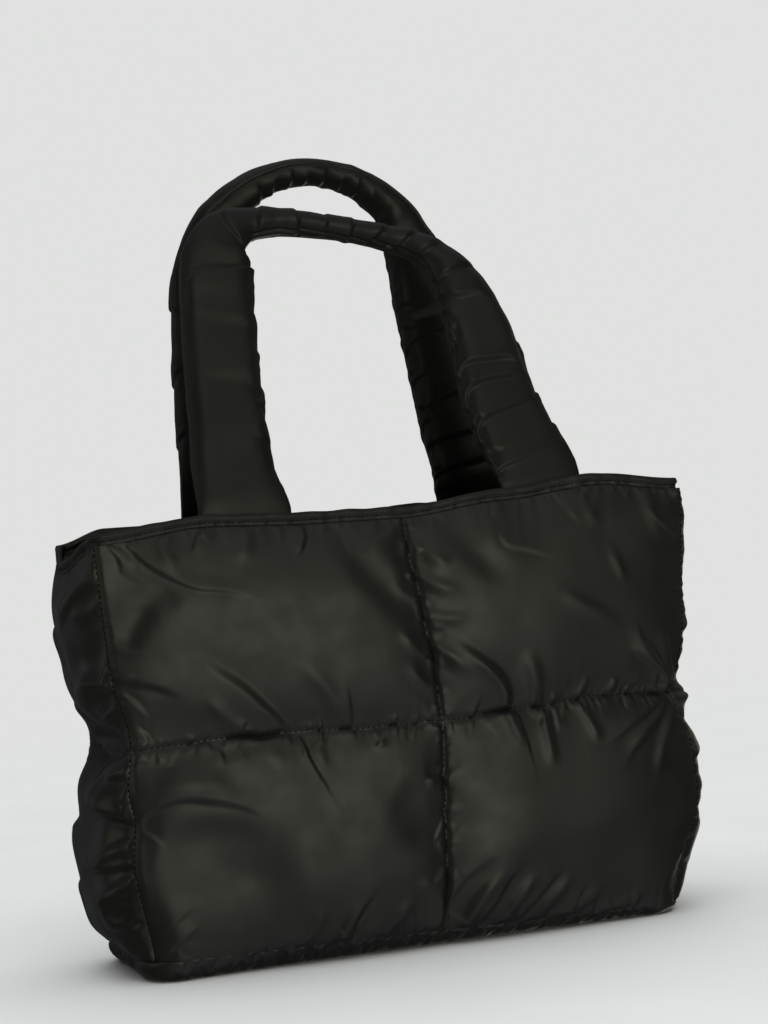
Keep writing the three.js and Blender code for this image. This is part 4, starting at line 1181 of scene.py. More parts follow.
def padded_base(form, name, material):
    """The bottom: flat where it stands, with a gathered rounded border up to the seam."""
    sizes = form.sizes
    rng = np.random.default_rng(SEEDS[name])
    half_x = sizes.base_width / 2 + sizes.seam_thick / 2
    half_y = sizes.base_depth / 2 + sizes.seam_thick / 2
    columns = cell_steps((-1, 1), sizes.cloth_step / half_x)
    rows = cell_steps((-1, 1), sizes.cloth_step / half_y)
    breaks = [0, len(rows) - 1], [0, len(columns) - 1]
    u, t = np.meshgrid(columns, rows)

    inside, out_x, out_y = rounded_edge(u * half_x, t * half_y, half_x, half_y, BASE_CORNER)
    share = np.clip(inside / BASE_ROUND, 0, 1)
    seam = form.base_seam(u * half_x) - sizes.seam_thick / 2
    z = seam * (1 + np.cos(math.pi * share)) / 2
    end_bulge = np.where(u < 0, BASE_BULGE["left"], BASE_BULGE["right"])
    bulge = lerp(BASE_BULGE["face"], end_bulge, np.abs(out_x)) * np.sin(math.pi * share)
    bulge = bulge + np.minimum(inside, 0)
    from_seam = np.minimum((1 - np.abs(u)) * half_x, (1 - np.abs(t)) * half_y)
    sewn = (from_seam < ON_SEAM) | (inside > BASE_FREE)
    rough = rng.normal(0, START_ROUGHNESS, u.shape) * ~sewn
    points = np.stack([u * half_x + out_x * bulge, t * half_y + out_y * bulge, z + rough], -1)
    gathered = bell(np.maximum(inside, 0), BASE_CLOTH.reach)
    quads = grid_quads(*u.shape)[:, ::-1]
    moved = settle_cloth(points.reshape(-1, 3), quads, sewn.ravel(), gathered.ravel(), BASE_CLOTH)
    outer = refine_sheet(moved.reshape(points.shape), *breaks)

    u, t = np.meshgrid(refine(columns, breaks[1]), refine(rows, breaks[0]))
    run = np.stack([u * half_x, t * half_y], -1)
    inside, out_x, out_y = rounded_edge(run[..., 0], run[..., 1], half_x, half_y, BASE_CORNER)
    gathers = []
    for way_in in (-1, 1):
        edge_x, edge_y = -way_in * half_x, -way_in * half_y
        gathers += seam_gathers((-half_x, edge_y), (half_x, edge_y), (0, way_in), BASE_GATHERS, rng)
        gathers += seam_gathers((edge_x, -half_y), (edge_x, half_y), (way_in, 0), BASE_GATHERS, rng)
    pucker = folds_relief(gathers, 1, run) * smoothstep(inside, 0, BASE_MARGIN)
    outer[..., 0] += out_x * pucker
    outer[..., 1] += out_y * pucker
    outer[..., 2] = np.maximum(outer[..., 2], 0)

    u, t = np.meshgrid(columns, rows)
    half_x, half_y = half_x - sizes.seam_thick, half_y - sizes.seam_thick
    inside, out_x, out_y = rounded_edge(u * half_x, t * half_y, half_x, half_y, BASE_CORNER)
    x = u * half_x + out_x * np.minimum(inside, 0)
    y = t * half_y + out_y * np.minimum(inside, 0)
    inner = np.stack([x, y, form.base_seam(x) + sizes.seam_thick / 2], -1)
    return padded_panel(name, outer, inner, run, material)


def hem_line(form, step):
    """Points of the seam under the hem all round the mouth, and the way out at each of them."""
    sizes = form.sizes
    span_x, span_y = sizes.rim_width / 2, sizes.rim_depth / 2
    points, outs = [], []

    def bow(y):
        return GUSSET_RIM.bow * soft_arch(y / span_y)

    def add(x, y, z, out_x, out_y):
        points.append(np.stack(np.broadcast_arrays(x, y, z), -1))
        outs.append(np.stack(np.broadcast_arrays(out_x, out_y, 0 * np.asarray(z)), -1))

    def face(side):
        reach = span_x - HEM_CORNER
        x = -side * cell_steps((-reach, reach), step)[1:-1]
        add(x, side * span_y, form.face_top(x, side), 0, side)

    def gusset(side):
        reach = span_y - HEM_CORNER
        y = side * cell_steps((-reach, reach), step)[1:-1]
        add(side * (span_x + bow(y)), y, form.gusset_top(side, y / span_y), side, 0)

    def turn(side_x, side_y, from_face):
        share = np.linspace(0, 1, HEM_CORNER_POINTS)
        angle = (share if from_face else 1 - share) * math.pi / 2
        out_x, out_y = side_x * np.sin(angle), side_y * np.cos(angle)
        y = side_y * (span_y - HEM_CORNER) + HEM_CORNER * out_y
        x = side_x * (span_x - HEM_CORNER + bow(y)) + HEM_CORNER * out_x
        z = np.maximum(form.face_top(x, side_y), form.gusset_top(side_x, y / span_y))
        add(x, y, z, out_x, out_y)

    face(FRONT)
    turn(RIGHT, FRONT, True)
    gusset(RIGHT)
    turn(RIGHT, BACK, False)
    face(BACK)
    turn(LEFT, BACK, True)
    gusset(LEFT)
    turn(LEFT, FRONT, False)
    return np.concatenate(points), np.concatenate(outs)


def hem_band(form, name, material):
    """A flat tube of folded cloth round the mouth, dented along its topstitching, and the line of that."""
    sizes = form.sizes
    rng = np.random.default_rng(SEEDS[name])
    line, out = hem_line(form, HEM_STEP)
    along = lengths_along(line)
    fade = smoothstep(along, 0, HEM_FADE) * smoothstep(along, along[-1], along[-1] - HEM_FADE)
    wave = fade * sum(waved(along, kind, rng) for kind in HEM_WAVES)
    fat = 1 + fade * waved(along, HEM_FULLNESS, rng)
    lift = fade * waved(along, HEM_LIFT, rng)
    crimp = fade * waved(along, HEM_CRIMP, rng)

    angle = (np.arange(HEM_SIDES) + 0.5) / HEM_SIDES * 2 * math.pi
    level, upright = np.cos(angle), np.sin(angle)
    reach = (np.abs(level) ** HEM_SQUARENESS + np.abs(upright) ** HEM_SQUARENESS) ** (-1 / HEM_SQUARENESS)
    side, rise = reach * level, 0.5 + reach * upright / 2
    dent = HEM_DENT.depth * bell(rise - HEM_SEAM, HEM_DENT.spread)
    bead = lerp(HEM_THIN, HEM_FULL, smoothstep(rise, *HEM_TURN)) - dent
    outward = (side * bead)[None] * (fat * sizes.hem_thick / 2)[:, None] + wave[:, None]
    outward = outward + crimp[:, None] * (1 - smoothstep(rise, *HEM_CRIMP_FADE))[None]
    upward = lerp(-HEM_OVERLAP, sizes.hem_height + lift[:, None], rise[None])
    points = line[:, None] + out[:, None] * outward[..., None]
    points[..., 2] += upward
    quads = grid_quads(*points.shape[:2], closes=True, loops=True)
    run = np.stack(np.broadcast_arrays(along[:, None], rise[None] * sizes.hem_height), -1).reshape(-1, 2)
    piece = add_piece(name, points.reshape(-1, 3), quads, material, run)

    row = line + out * (wave + HEM_THREAD_OUT * fat * sizes.hem_thick / 2)[:, None]
    row[:, 2] += lerp(-HEM_OVERLAP, sizes.hem_height + lift, HEM_SEAM)
    return piece, (np.vstack([row, row[:1]]), np.vstack([out, out[:1]]))


def padded_strap(form, name, handle, side, material):
    """One handle, a padded strap sewn inside the hem and folded along its grip, and the grip's seam."""
    sizes = form.sizes
    rng = np.random.default_rng(SEEDS[name])
    table = np.array(handle.stations, float) * MM
    x, up, width, thick = table.T
    seat = sizes.rim_depth / 2 - sizes.hem_thick / 2 - STRAP_GAP
    y = side * (seat - thick / 2 - handle.lean * np.maximum(0, up))
    knots = np.stack([x, y, sizes.height + form.hem_rise(x, side) + up], -1)

    fine = np.linspace(0, len(knots) - 1, STRAP_SAMPLES)
    run_fine = lengths_along(smooth_line(knots, fine))
    steps = round(run_fine[-1] / sizes.cloth_step) + 1
    along = np.linspace(0, run_fine[-1], steps)
    t = np.interp(along, run_fine, fine)
    centre = smooth_line(knots, t)
    width, thick, above = (np.interp(t, np.arange(len(knots)), values) for values in (width, thick, up))
    through = np.array((0, 1, side * handle.lean)) / math.hypot(1, handle.lean)
    wide = np.cross(through, np.gradient(centre, axis=0))
    wide /= np.linalg.norm(wide, axis=1)[:, None]

    # Angle 0 is the inner side of the loop, a quarter turn is the back of the strap
    angle = np.arange(STRAP_SIDES) / STRAP_SIDES * 2 * math.pi
    is_grip = smoothstep(width, *GRIP_TURN)[:, None]
    power = 2 / lerp(STRAP_SQUARENESS, 2, is_grip)
    scallop = 1 + waved(along, STRAP_SCALLOP, rng)
    across = np.sign(np.cos(angle)) * np.abs(np.cos(angle)) ** power * (width * scallop)[:, None] / 2
    deep = np.sign(np.sin(angle)) * np.abs(np.sin(angle)) ** power * thick[:, None] / 2
    points = centre[:, None] + wide[:, None] * across[..., None] + through * deep[..., None]
    inner, outer = 0, STRAP_SIDES // 2
    sewn = np.zeros(points.shape[:2], bool)
    sewn[above < STRAP_SEWN] = True
    sewn[:, inner] = True
    sewn[is_grip[:, 0] <= 0.5, outer] = True
    turned = np.minimum(angle, 2 * math.pi - angle)
    edges = np.maximum(bell(turned, EDGE_GATHER_REACH), bell(math.pi - turned, EDGE_GATHER_REACH))
    patches = STRAP_PATCH_LEVEL + waved(along, STRAP_PATCHES, rng)[:, None]
    gathered = np.clip(lerp(edges * patches, bell(turned, GRIP_GATHER_REACH), is_grip), 0, 1)
    rough = rng.normal(0, START_ROUGHNESS, points.shape) * ~sewn[..., None]
    start = points.reshape(-1, 3)
    quads = grid_quads(*points.shape[:2], True)
    moved = settle_cloth(start + rough.reshape(-1, 3), quads, sewn.ravel(), gathered.ravel(), STRAP_CLOTH)
    shift = (moved - start).reshape(points.shape)
    round_again = np.concatenate([shift[:, -SMOOTHING:], shift, shift[:, :SMOOTHING]], axis=1)
    shift = smooth_sheet(round_again, 1, SMOOTHING)[:, SMOOTHING:-SMOOTHING]
    size = np.linalg.norm(shift, axis=-1)[..., None]
    moved = points + shift * STRAP_SWELL * np.tanh(size / STRAP_SWELL) / np.maximum(size, TINY)

    rows = [0, len(along) - 1]
    sheet = refine_sheet(np.concatenate([moved, moved[:, :1]], axis=1), rows, [0, STRAP_SIDES])[:, :-1]
    along, above, width, thick = (refine(values, rows) for values in (along, above, width, thick))
    wide = refine(wide, rows)
    sides = 2 * STRAP_SIDES
    turn = np.arange(sides) / sides
    angle = 2 * math.pi * turn
    across, deep = np.cos(angle) / width[:, None], np.sin(angle) / thick[:, None]
    out = wide[:, None] * across[..., None] + through * deep[..., None]
    out /= np.linalg.norm(out, axis=-1)[..., None]
    run = np.stack(np.broadcast_arrays(turn * STRAP_GIRTH, along[:, None]), -1)
    relief = strap_relief(handle, along[-1], run, rng) * smoothstep(above, *STRAP_FOLDS_START)[:, None]
    sheet = sheet + out * relief[..., None]

    last = (len(along) - 1) * sides
    caps = [list(range(sides))[::-1], [last + i for i in range(sides)]]
    quads = grid_quads(len(along), sides, True)
    piece = add_piece(name, sheet.reshape(-1, 3), quads, material, run.reshape(-1, 2), caps)
    seam = handle.seam
    on_grip = slice(*(round(share * (len(along) - 1)) for share in (seam.start, seam.end)))
    column = round(seam.turn * sides)
    return piece, (sheet[on_grip, column], out[on_grip, column])


def strap_relief(handle, length, run, rng):
    """Height of a strap's folds, its edges' gathers and the groove of its grip's seam."""
    seam = handle.seam
    shares = np.linspace(seam.start, seam.end, GRIP_GROOVE_KNOTS)
    groove = Fold([(seam.turn, share) for share in shares], *GRIP_GROOVE, 0.5)
    turn, along = run[..., 0] / STRAP_GIRTH, run[..., 1]
    from_inner = np.minimum(turn, 1 - turn) * STRAP_GIRTH
    from_edge = np.minimum(from_inner, np.abs(turn - 0.5) * STRAP_GIRTH)
    gather_share = lerp(LEFT_LEG_GATHERS, RIGHT_LEG_GATHERS, smoothstep(along / length, *LEG_CHANGE))
    folds = STRAP_FOLD_SHARE * folds_relief(handle.folds, (STRAP_GIRTH, length), run)
    for edge, way_in, share in (
        (0, 1, 1), (0.5, -1, OUTER_EDGE_GATHERS), (0.5, 1, OUTER_EDGE_GATHERS), (1, -1, 1)
    ):
        foot = edge * STRAP_GIRTH
        gathers = seam_gathers((foot, 0), (foot, length), (way_in, 0), STRAP_GATHERS, rng)
        folds = folds + share * gather_share * folds_relief(gathers, 1, run, bell)
    folds = folds * smoothstep(from_edge, *STRAP_EDGE_FADE)
    fine = puckers(along, from_edge, STRAP_PUCKER, rng)
    fine = fine + billows(run, STRAP_BILLOWS, rng) * smoothstep(from_edge, *STRAP_BILLOW_MARGIN)
    return folds + fold_relief(groove, (STRAP_GIRTH, length), run, bell) + fine


def stitch_row(name, lines, stitch, material):
    """Rows of separate thread stitches along lines of points, each line with the way out of the cloth."""
    shares = np.linspace(0, 1, STITCH_RINGS)
    thickness = np.sqrt(np.maximum(1 - (2 * shares - 1) ** STITCH_BLUNTNESS, STITCH_TIP))
    lift = STITCH_ARCH * np.sin(math.pi * shares) - STITCH_SINK
    angle = np.arange(STITCH_SIDES) / STITCH_SIDES * 2 * math.pi
    all_points, all_quads, all_caps = [], [], []
    count = 0
    for line, out in lines:
        along = lengths_along(line)
        starts = np.arange(stitch.gap, along[-1] - stitch.length, stitch.length + stitch.gap)
        places = starts[:, None] + shares * stitch.length
        middle, normal = (
            np.stack([np.interp(places, along, row[:, i]) for i in range(3)], -1) for row in (line, out))
        ahead = np.gradient(middle, axis=1)
        ahead /= np.linalg.norm(ahead, axis=-1)[..., None]
        beside = np.cross(ahead, normal)
        middle = middle + normal * (lift * stitch.radius)[None, :, None]
        ring = beside[:, :, None] * np.cos(angle)[None, None, :, None]
        ring = ring + normal[:, :, None] * np.sin(angle)[None, None, :, None]
        points = middle[:, :, None] + ring * (stitch.radius * thickness)[None, :, None, None]
        quads = grid_quads(STITCH_RINGS, STITCH_SIDES, True)
        per_stitch = STITCH_RINGS * STITCH_SIDES
        for number in range(len(starts)):
            first = count + number * per_stitch
            all_quads.append(quads + first)
            all_caps.append([first + i for i in range(STITCH_SIDES)][::-1])
            all_caps.append([first + per_stitch - STITCH_SIDES + i for i in range(STITCH_SIDES)])
        all_points.append(points.reshape(-1, 3))
        count += len(starts) * per_stitch
    return add_piece(name, np.concatenate(all_points), np.concatenate(all_quads), material, caps=all_caps)


# Finishes


def new_material(name):
    material = bpy.data.materials.new(name)
    material.use_nodes = True
    return material, material.node_tree, material.node_tree.nodes["Principled BSDF"]


def set_node(node, **values):
    """Sets a node's values by name; spaces in the names of its inputs are written as underscores."""
    for key, value in values.items():
        socket = node.inputs.get(key.replace("_", " "))
        if socket is None:
            setattr(node, key, value)
        else:
            socket.default_value = value
    return node


def add_node(tree, kind, **values):
    return set_node(tree.nodes.new(kind), **values)


def cloth_noise(tree, place, noise):
    node = add_node(
        tree, "ShaderNodeTexNoise", Scale=noise.scale, Detail=noise.detail, Distortion=noise.distortion)
    tree.links.new(place, node.inputs["Vector"])
    return node.outputs["Fac"]


def spread_value(tree, value, low, high):
    """Value of a noise around its middle, spread from low to high."""
    least, most = NOISE_MIDDLE
    ranged = add_node(tree, "ShaderNodeMapRange", From_Min=least, From_Max=most, To_Min=low, To_Max=high)
    tree.links.new(value, ranged.inputs["Value"])
    return ranged.outputs["Result"]


def mottled(tree, value, colour, tones):
    """A colour that goes from a dark to a light tone with the value of a noise."""
    mix = add_node(tree, "ShaderNodeMix", data_type="RGBA")
    for place, tone in ((MIX_FIRST, tones.dark), (MIX_SECOND, tones.light)):
        mix.inputs[place].default_value = (*(part * tone for part in colour), 1)
    tree.links.new(spread_value(tree, value, 0, 1), mix.inputs["Factor"])
    return mix.outputs[MIX_RESULT]


def add_bump(tree, height, bump):
    node = add_node(tree, "ShaderNodeBump", Strength=bump.strength, Distance=bump.distance)
    tree.links.new(height, node.inputs["Height"])
    return node


def mix_shaders(tree, share, first, second, output):
    """Sends the first of two shaders to an output node, and the second where the share is 1."""
    both = add_node(tree, "ShaderNodeMixShader")
    for place, socket in enumerate((share, first, second)):
        tree.links.new(socket, both.inputs[place])
    tree.links.new(both.outputs["Shader"], tree.nodes[output].inputs["Surface"])


def nylon(name, colour, finish):
    """Satin nylon: faint mottling, a fine plain weave and small soft crinkles."""
    material, tree, shader = new_material(name)
    links = tree.links
    place = add_node(tree, "ShaderNodeTexCoord").outputs["Object"]
    run = add_node(tree, "ShaderNodeAttribute", attribute_name="cloth_run").outputs["Vector"]

    tone = mottled(tree, cloth_noise(tree, place, NYLON_MOTTLE), colour, NYLON_TONES)
    links.new(tone, shader.inputs["Base Color"])
    patches = cloth_noise(tree, place, NYLON_PATCHES)
    smooth, rough = finish.roughness - PATCH_ROUGHNESS, finish.roughness + PATCH_ROUGHNESS
    links.new(spread_value(tree, patches, smooth, rough), shader.inputs["Roughness"])

    crinkles = add_bump(tree, cloth_noise(tree, place, CRINKLES), CRINKLE_BUMP)
    weave = add_node(tree, "ShaderNodeMath", operation="MULTIPLY")
    for number, way in enumerate("XY"):
        threads = add_node(
            tree, "ShaderNodeTexWave", wave_type="BANDS", bands_direction=way, Scale=WEAVE_SCALE)
        links.new(run, threads.inputs["Vector"])
        links.new(threads.outputs["Fac"], weave.inputs[number])
    woven = add_bump(tree, weave.outputs["Value"], WEAVE_BUMP)
    links.new(crinkles.outputs["Normal"], woven.inputs["Normal"])
    links.new(woven.outputs["Normal"], shader.inputs["Normal"])
    set_node(
        shader, Sheen_Weight=SHEEN, Sheen_Roughness=SHEEN_ROUGHNESS, Specular_IOR_Level=finish.gloss,
        Specular_Tint=GLOSS_TINT)
    return material


def sewing_thread(name, colour):
    """Matt twisted thread."""
    material, tree, shader = new_material(name)
    twist = cloth_noise(tree, add_node(tree, "ShaderNodeTexCoord").outputs["Object"], TWIST)
    tree.links.new(mottled(tree, twist, colour, THREAD_TONES), shader.inputs["Base Color"])
    bump = add_bump(tree, twist, TWIST_BUMP)
    tree.links.new(bump.outputs["Normal"], shader.inputs["Normal"])
    set_node(shader, Roughness=THREAD_FINISH.roughness, Specular_IOR_Level=THREAD_FINISH.gloss)
    return material


def pale_floor(name, colour):
    """A matt floor that fades into the backdrop with distance."""
    material, tree, shader = new_material(name)
    place = add_node(tree, "ShaderNodeTexCoord").outputs["Object"]
    tone = mottled(tree, cloth_noise(tree, place, FLOOR_MOTTLE), colour, FLOOR_TONES)
    tree.links.new(tone, shader.inputs["Base Color"])
    set_node(shader, Roughness=FLOOR_ROUGHNESS)
    far = add_node(tree, "ShaderNodeVectorMath", operation="LENGTH")
    tree.links.new(place, far.inputs[0])
    start, end = FLOOR_FADE
    fade = add_node(
        tree, "ShaderNodeMapRange", interpolation_type="SMOOTHSTEP", From_Min=start, From_Max=end)
    tree.links.new(far.outputs["Value"], fade.inputs["Value"])
    haze = add_node(tree, "ShaderNodeEmission", Color=BACKDROP)
    mix_shaders(
        tree, fade.outputs["Result"], shader.outputs["BSDF"], haze.outputs["Emission"], "Material Output")
    return material


# What a user can change


class ToteSizes(bpy.types.PropertyGroup):
    """Driving sizes of the bag"""

    height: FloatProperty(
        name="Height", description="Floor to the top of the hem", default=304 * MM, unit="LENGTH")
    rim_width: FloatProperty(
        name="Rim width", description="Width at the hem", default=430 * MM, unit="LENGTH")
    base_width: FloatProperty(
        name="Base width", description="Width at the base seam", default=394 * MM, unit="LENGTH")
    rim_depth: FloatProperty(
        name="Rim depth", description="Front to back at the hem", default=118 * MM, unit="LENGTH")
    base_depth: FloatProperty(
        name="Base depth", description="Front to back at the base", default=124 * MM, unit="LENGTH")
    base_seam: FloatProperty(
        name="Base seam", description="Height of the seam round the base", default=12 * MM, unit="LENGTH")
    quilt_line: FloatProperty(
        name="Quilting seam", description="Height of the seam across the walls", default=160 * MM,
        unit="LENGTH")
    seam_thick: FloatProperty(
        name="Seam thickness", description="Padded cloth where it is sewn flat", default=3 * MM,
        unit="LENGTH")
    hem_height: FloatProperty(
        name="Hem height", description="Height of the band round the mouth", default=8 * MM, unit="LENGTH")
    hem_thick: FloatProperty(
        name="Hem thickness", description="Thickness of the folded hem", default=3.6 * MM, unit="LENGTH")
    face_puff: FloatProperty(
        name="Face puff", description="How far a face's cells swell", default=8 * MM, unit="LENGTH")
    left_puffs: FloatVectorProperty(
        name="Left puffs", description="Swell of the left gusset's lower and upper cell",
        default=(20 * MM, 14 * MM), size=2, unit="LENGTH")
    right_puffs: FloatVectorProperty(
        name="Right puffs", description="Swell of the right gusset's lower and upper cell",
        default=(15 * MM, 12 * MM), size=2, unit="LENGTH")
    cloth_step: FloatProperty(
        name="Cloth step", description="Spacing of the cloth's points", default=2.6 * MM, unit="LENGTH")


class ToteColours(bpy.types.PropertyGroup):
    """Colours of the cloth, the thread and the stage"""

    nylon: FloatVectorProperty(
        name="Nylon", description="Quilted walls and base", default=(0.010, 0.0104, 0.0086),
        subtype="COLOR")
    hem: FloatVectorProperty(
        name="Hem", description="Band round the mouth", default=(0.009, 0.0092, 0.008), subtype="COLOR")
    handle: FloatVectorProperty(
        name="Handles", description="Padded straps", default=(0.010, 0.0102, 0.0086), subtype="COLOR")
    thread: FloatVectorProperty(
        name="Thread", description="Quilting and topstitching", default=(0.004, 0.004, 0.0035),
        subtype="COLOR")
    floor: FloatVectorProperty(
        name="Floor", description="Pale floor under the bag", default=(0.74, 0.75, 0.75), subtype="COLOR")


# Operators


def outwards(line, way):
    """The same way out at each point of a line."""
    return np.broadcast_to(np.array(way, float), line.shape)


class TOTE_OT_faces(bpy.types.Operator):
    """Sew the quilted front and back faces"""

    bl_idname = "tote.faces"
    bl_label = "Quilted faces"

    def execute(self, context):
        form = ToteForm(context.scene.tote_sizes)
        colours = context.scene.tote_colours
        cloth = nylon("quilted_nylon", colours.nylon, QUILT_FINISH)
        thread = sewing_thread("quilting_thread", colours.thread)
        for word, side, folds, swells in (
            ("front", FRONT, FRONT_FOLDS, FRONT_SWELLS), ("back", BACK, BACK_FOLDS, BACK_SWELLS)
        ):
            face, seams = quilted_face(form, f"{word}_face", side, folds, swells, cloth)
            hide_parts(f"{word}_panel")
            lines = [(seam, outwards(seam, Vector((way, side, 0)).normalized())) for seam, way in seams]
            stitches = stitch_row(f"{word}_quilting_stitches", lines, QUILT_STITCH, thread)
        return {"FINISHED"}


class TOTE_OT_gussets(bpy.types.Operator):
    """Sew the two gathered side walls"""

    bl_idname = "tote.gussets"
    bl_label = "Gathered gussets"

    def execute(self, context):
        sizes = context.scene.tote_sizes
        form = ToteForm(sizes)
        cloth = nylon("gusset_nylon", context.scene.tote_colours.nylon, GUSSET_FINISH)
        for word, side, puffs, share, edge in (
            ("left", LEFT, sizes.left_puffs, 1, GENTLE_EDGE),
            ("right", RIGHT, sizes.right_puffs, RIGHT_GUSSET_SHARE, FULL_EDGE),
        ):
            gusset = gathered_gusset(form, f"{word}_side_wall", side, puffs, share, edge, cloth)
            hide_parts(f"{word}_gusset")
        return {"FINISHED"}


class TOTE_OT_base(bpy.types.Operator):
    """Sew the padded base"""

    bl_idname = "tote.base"
    bl_label = "Padded base"

    def execute(self, context):
        form = ToteForm(context.scene.tote_sizes)
        cloth = nylon("base_nylon", context.scene.tote_colours.nylon, BASE_FINISH)
        base = padded_base(form, "padded_base", cloth)
        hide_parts("base_panel")
        return {"FINISHED"}


class TOTE_OT_hem(bpy.types.Operator):
    """Fold and topstitch the hem round the mouth"""

    bl_idname = "tote.hem"
    bl_label = "Topstitched hem"

    def execute(self, context):
        form = ToteForm(context.scene.tote_sizes)
        colours = context.scene.tote_colours
        band, seam = hem_band(form, "mouth_hem", nylon("hem_nylon", colours.hem, HEM_FINISH))
        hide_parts("rim_hem")
        thread = sewing_thread("hem_thread", colours.thread)
        stitches = stitch_row("hem_stitches", [seam], HEM_STITCH, thread)
        return {"FINISHED"}


class TOTE_OT_handles(bpy.types.Operator):
    """Pad the two loop handles"""

    bl_idname = "tote.handles"
    bl_label = "Padded handles"

    def execute(self, context):
        form = ToteForm(context.scene.tote_sizes)
        cloth = nylon("handle_nylon", context.scene.tote_colours.handle, HANDLE_FINISH)
        thread = sewing_thread("grip_thread", context.scene.tote_colours.thread)
        for word, side, handle in (("front", FRONT, FRONT_HANDLE), ("back", BACK, BACK_HANDLE)):
            strap, seam = padded_strap(form, f"{word}_strap", handle, side, cloth)
            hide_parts(f"{word}_handle")
            stitches = stitch_row(f"{word}_grip_stitches", [seam], HEM_STITCH, thread)
        return {"FINISHED"}


class TOTE_OT_stage(bpy.types.Operator):
    """Set the pale floor, the soft lights and the camera"""

    bl_idname = "tote.stage"
    bl_label = "Stage"

    def execute(self, context):
        scene = context.scene
        floor = add_floor(scene, pale_floor("pale_floor", scene.tote_colours.floor))
        add_daylight(scene, floor)
        add_room(scene)
        add_camera(scene)
        return {"FINISHED"}


def add_floor(scene, material):
    mesh = bpy.data.meshes.new("pale_floor")
    corners = ((-1, -1), (1, -1), (1, 1), (-1, 1))
    points = [(x * FLOOR_HALF, y * FLOOR_HALF, -FLOOR_DROP) for x, y in corners]
    mesh.from_pydata(points, [], [range(len(points))])
    mesh.materials.append(material)
    floor = bpy.data.objects.new("pale_floor", mesh)
    scene.collection.objects.link(floor)
    floor.visible_glossy = False
    return floor


def add_daylight(scene, floor):
    """Soft light from above that brightens only the floor, with the bag's shadow on it."""
    lit = bpy.data.collections.new("floor_daylight")
    lit.objects.link(floor)
    lamp = bpy.data.lights.new("daylight", "SUN")
    lamp.energy = FLOOR_DAYLIGHT
    lamp.angle = math.radians(DAYLIGHT_SPREAD)
    daylight = bpy.data.objects.new("daylight", lamp)
    daylight.light_linking.receiver_collection = lit
    scene.collection.objects.link(daylight)


def direction(azimuth, elevation):
    """The way from the bag to a part of the room, by its angles in degrees."""
    azimuth, elevation = math.radians(azimuth), math.radians(elevation)
    level = math.cos(elevation)
    return Vector((math.sin(azimuth) * level, -math.cos(azimuth) * level, math.sin(elevation)))


def glow_light(tree, way, glow):
    """Coloured brightness of one glow in each direction of the room."""
    towards = add_node(tree, "ShaderNodeVectorMath", operation="DOT_PRODUCT")
    towards.inputs[1].default_value = direction(glow.azimuth, glow.elevation)
    tree.links.new(way, towards.inputs[0])
    outer, inner = (math.cos(math.radians(angle)) for angle in (glow.outer, glow.inner))
    strength = add_node(
        tree, "ShaderNodeMapRange", interpolation_type="SMOOTHSTEP", From_Min=outer, From_Max=inner,
        To_Max=glow.strength)
    tree.links.new(towards.outputs["Value"], strength.inputs["Value"])
    colour = add_node(tree, "ShaderNodeVectorMath", operation="SCALE")
    colour.inputs[0].default_value = glow.colour
    tree.links.new(strength.outputs["Result"], colour.inputs["Scale"])
    return colour.outputs["Vector"]


def add_room(scene):
    """A dim room with soft glows that light the bag, seen by the camera as a pale backdrop."""
    world = bpy.data.worlds.new("pale_room")
    world.use_nodes = True
    tree = world.node_tree
    dim = tree.nodes["Background"]
    way = add_node(tree, "ShaderNodeTexCoord").outputs["Generated"]
    total = None
    for glow in GLOWS:
        add = add_node(tree, "ShaderNodeVectorMath", operation="ADD")
        add.inputs[1].default_value = [ROOM_LIGHT * part for part in COOL]
        if total is not None:
            tree.links.new(total, add.inputs[1])
        tree.links.new(glow_light(tree, way, glow), add.inputs[0])
        total = add.outputs["Vector"]
    tree.links.new(total, dim.inputs["Color"])
    pale = add_node(tree, "ShaderNodeBackground", Color=BACKDROP)
    seen = add_node(tree, "ShaderNodeLightPath")
    mix_shaders(
        tree, seen.outputs["Is Camera Ray"], dim.outputs["Background"], pale.outputs["Background"],
        "World Output")
    scene.world = world
    scene.view_settings.view_transform = "Standard"


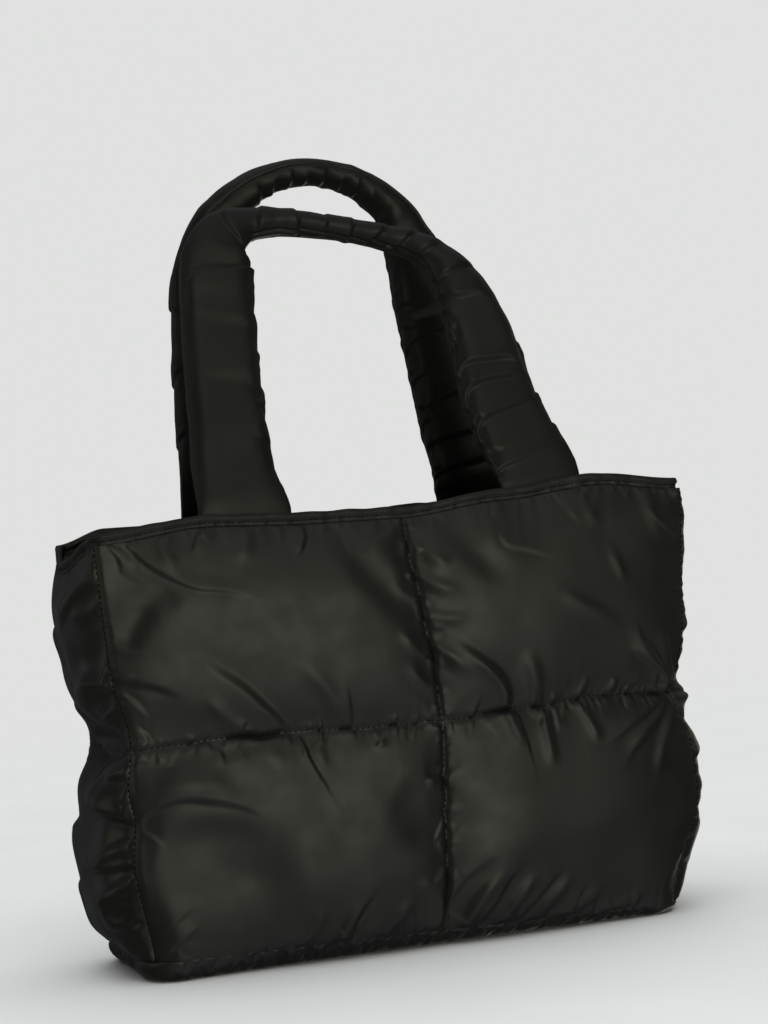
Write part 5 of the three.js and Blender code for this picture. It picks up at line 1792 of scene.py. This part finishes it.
def add_camera(scene):
    azimuth, roll = math.radians(CAMERA_AZIMUTH), math.radians(CAMERA_ROLL)
    back = direction(CAMERA_AZIMUTH, CAMERA_ELEVATION)
    right = Vector((math.cos(azimuth), math.sin(azimuth), 0))
    up = back.cross(right)
    across = right * math.cos(roll) + up * math.sin(roll)
    upright = up * math.cos(roll) - right * math.sin(roll)
    lens = bpy.data.cameras.new("camera")
    lens.lens, lens.sensor_width = CAMERA_LENS, CAMERA_SENSOR
    camera = bpy.data.objects.new("camera", lens)
    camera.matrix_world = Matrix.Translation(CAMERA_TARGET + back * CAMERA_DISTANCE) @ Matrix(
        (across, upright, back)).transposed().to_4x4()
    scene.collection.objects.link(camera)
    scene.camera = camera


class TOTE_PT_sidebar(bpy.types.Panel):
    """Lists the steps that sew the bag"""

    bl_idname = "TOTE_PT_sidebar"
    bl_label = "Quilted tote"
    bl_space_type = "VIEW_3D"
    bl_region_type = "UI"
    bl_category = "Quilted tote"

    def draw(self, context):
        for group in (context.scene.tote_sizes, context.scene.tote_colours):
            column = self.layout.column(align=True)
            for key in group.__annotations__:
                column.prop(group, key)
        steps = self.layout.column(align=True)
        for operator in OPERATORS:
            steps.operator(operator.bl_idname)


OPERATORS = (TOTE_OT_faces, TOTE_OT_gussets, TOTE_OT_base, TOTE_OT_hem, TOTE_OT_handles, TOTE_OT_stage)
CLASSES = (ToteSizes, ToteColours, *OPERATORS, TOTE_PT_sidebar)


def register():
    for item in CLASSES:
        bpy.utils.register_class(item)
    bpy.types.Scene.tote_sizes = PointerProperty(type=ToteSizes)
    bpy.types.Scene.tote_colours = PointerProperty(type=ToteColours)


def unregister():
    del bpy.types.Scene.tote_colours
    del bpy.types.Scene.tote_sizes
    for item in reversed(CLASSES):
        bpy.utils.unregister_class(item)


def main():
    register()
    bpy.ops.tote.faces()
    bpy.ops.tote.gussets()
    bpy.ops.tote.base()
    bpy.ops.tote.hem()
    bpy.ops.tote.handles()
    bpy.ops.tote.stage()


if __name__ == "__main__":
    main()
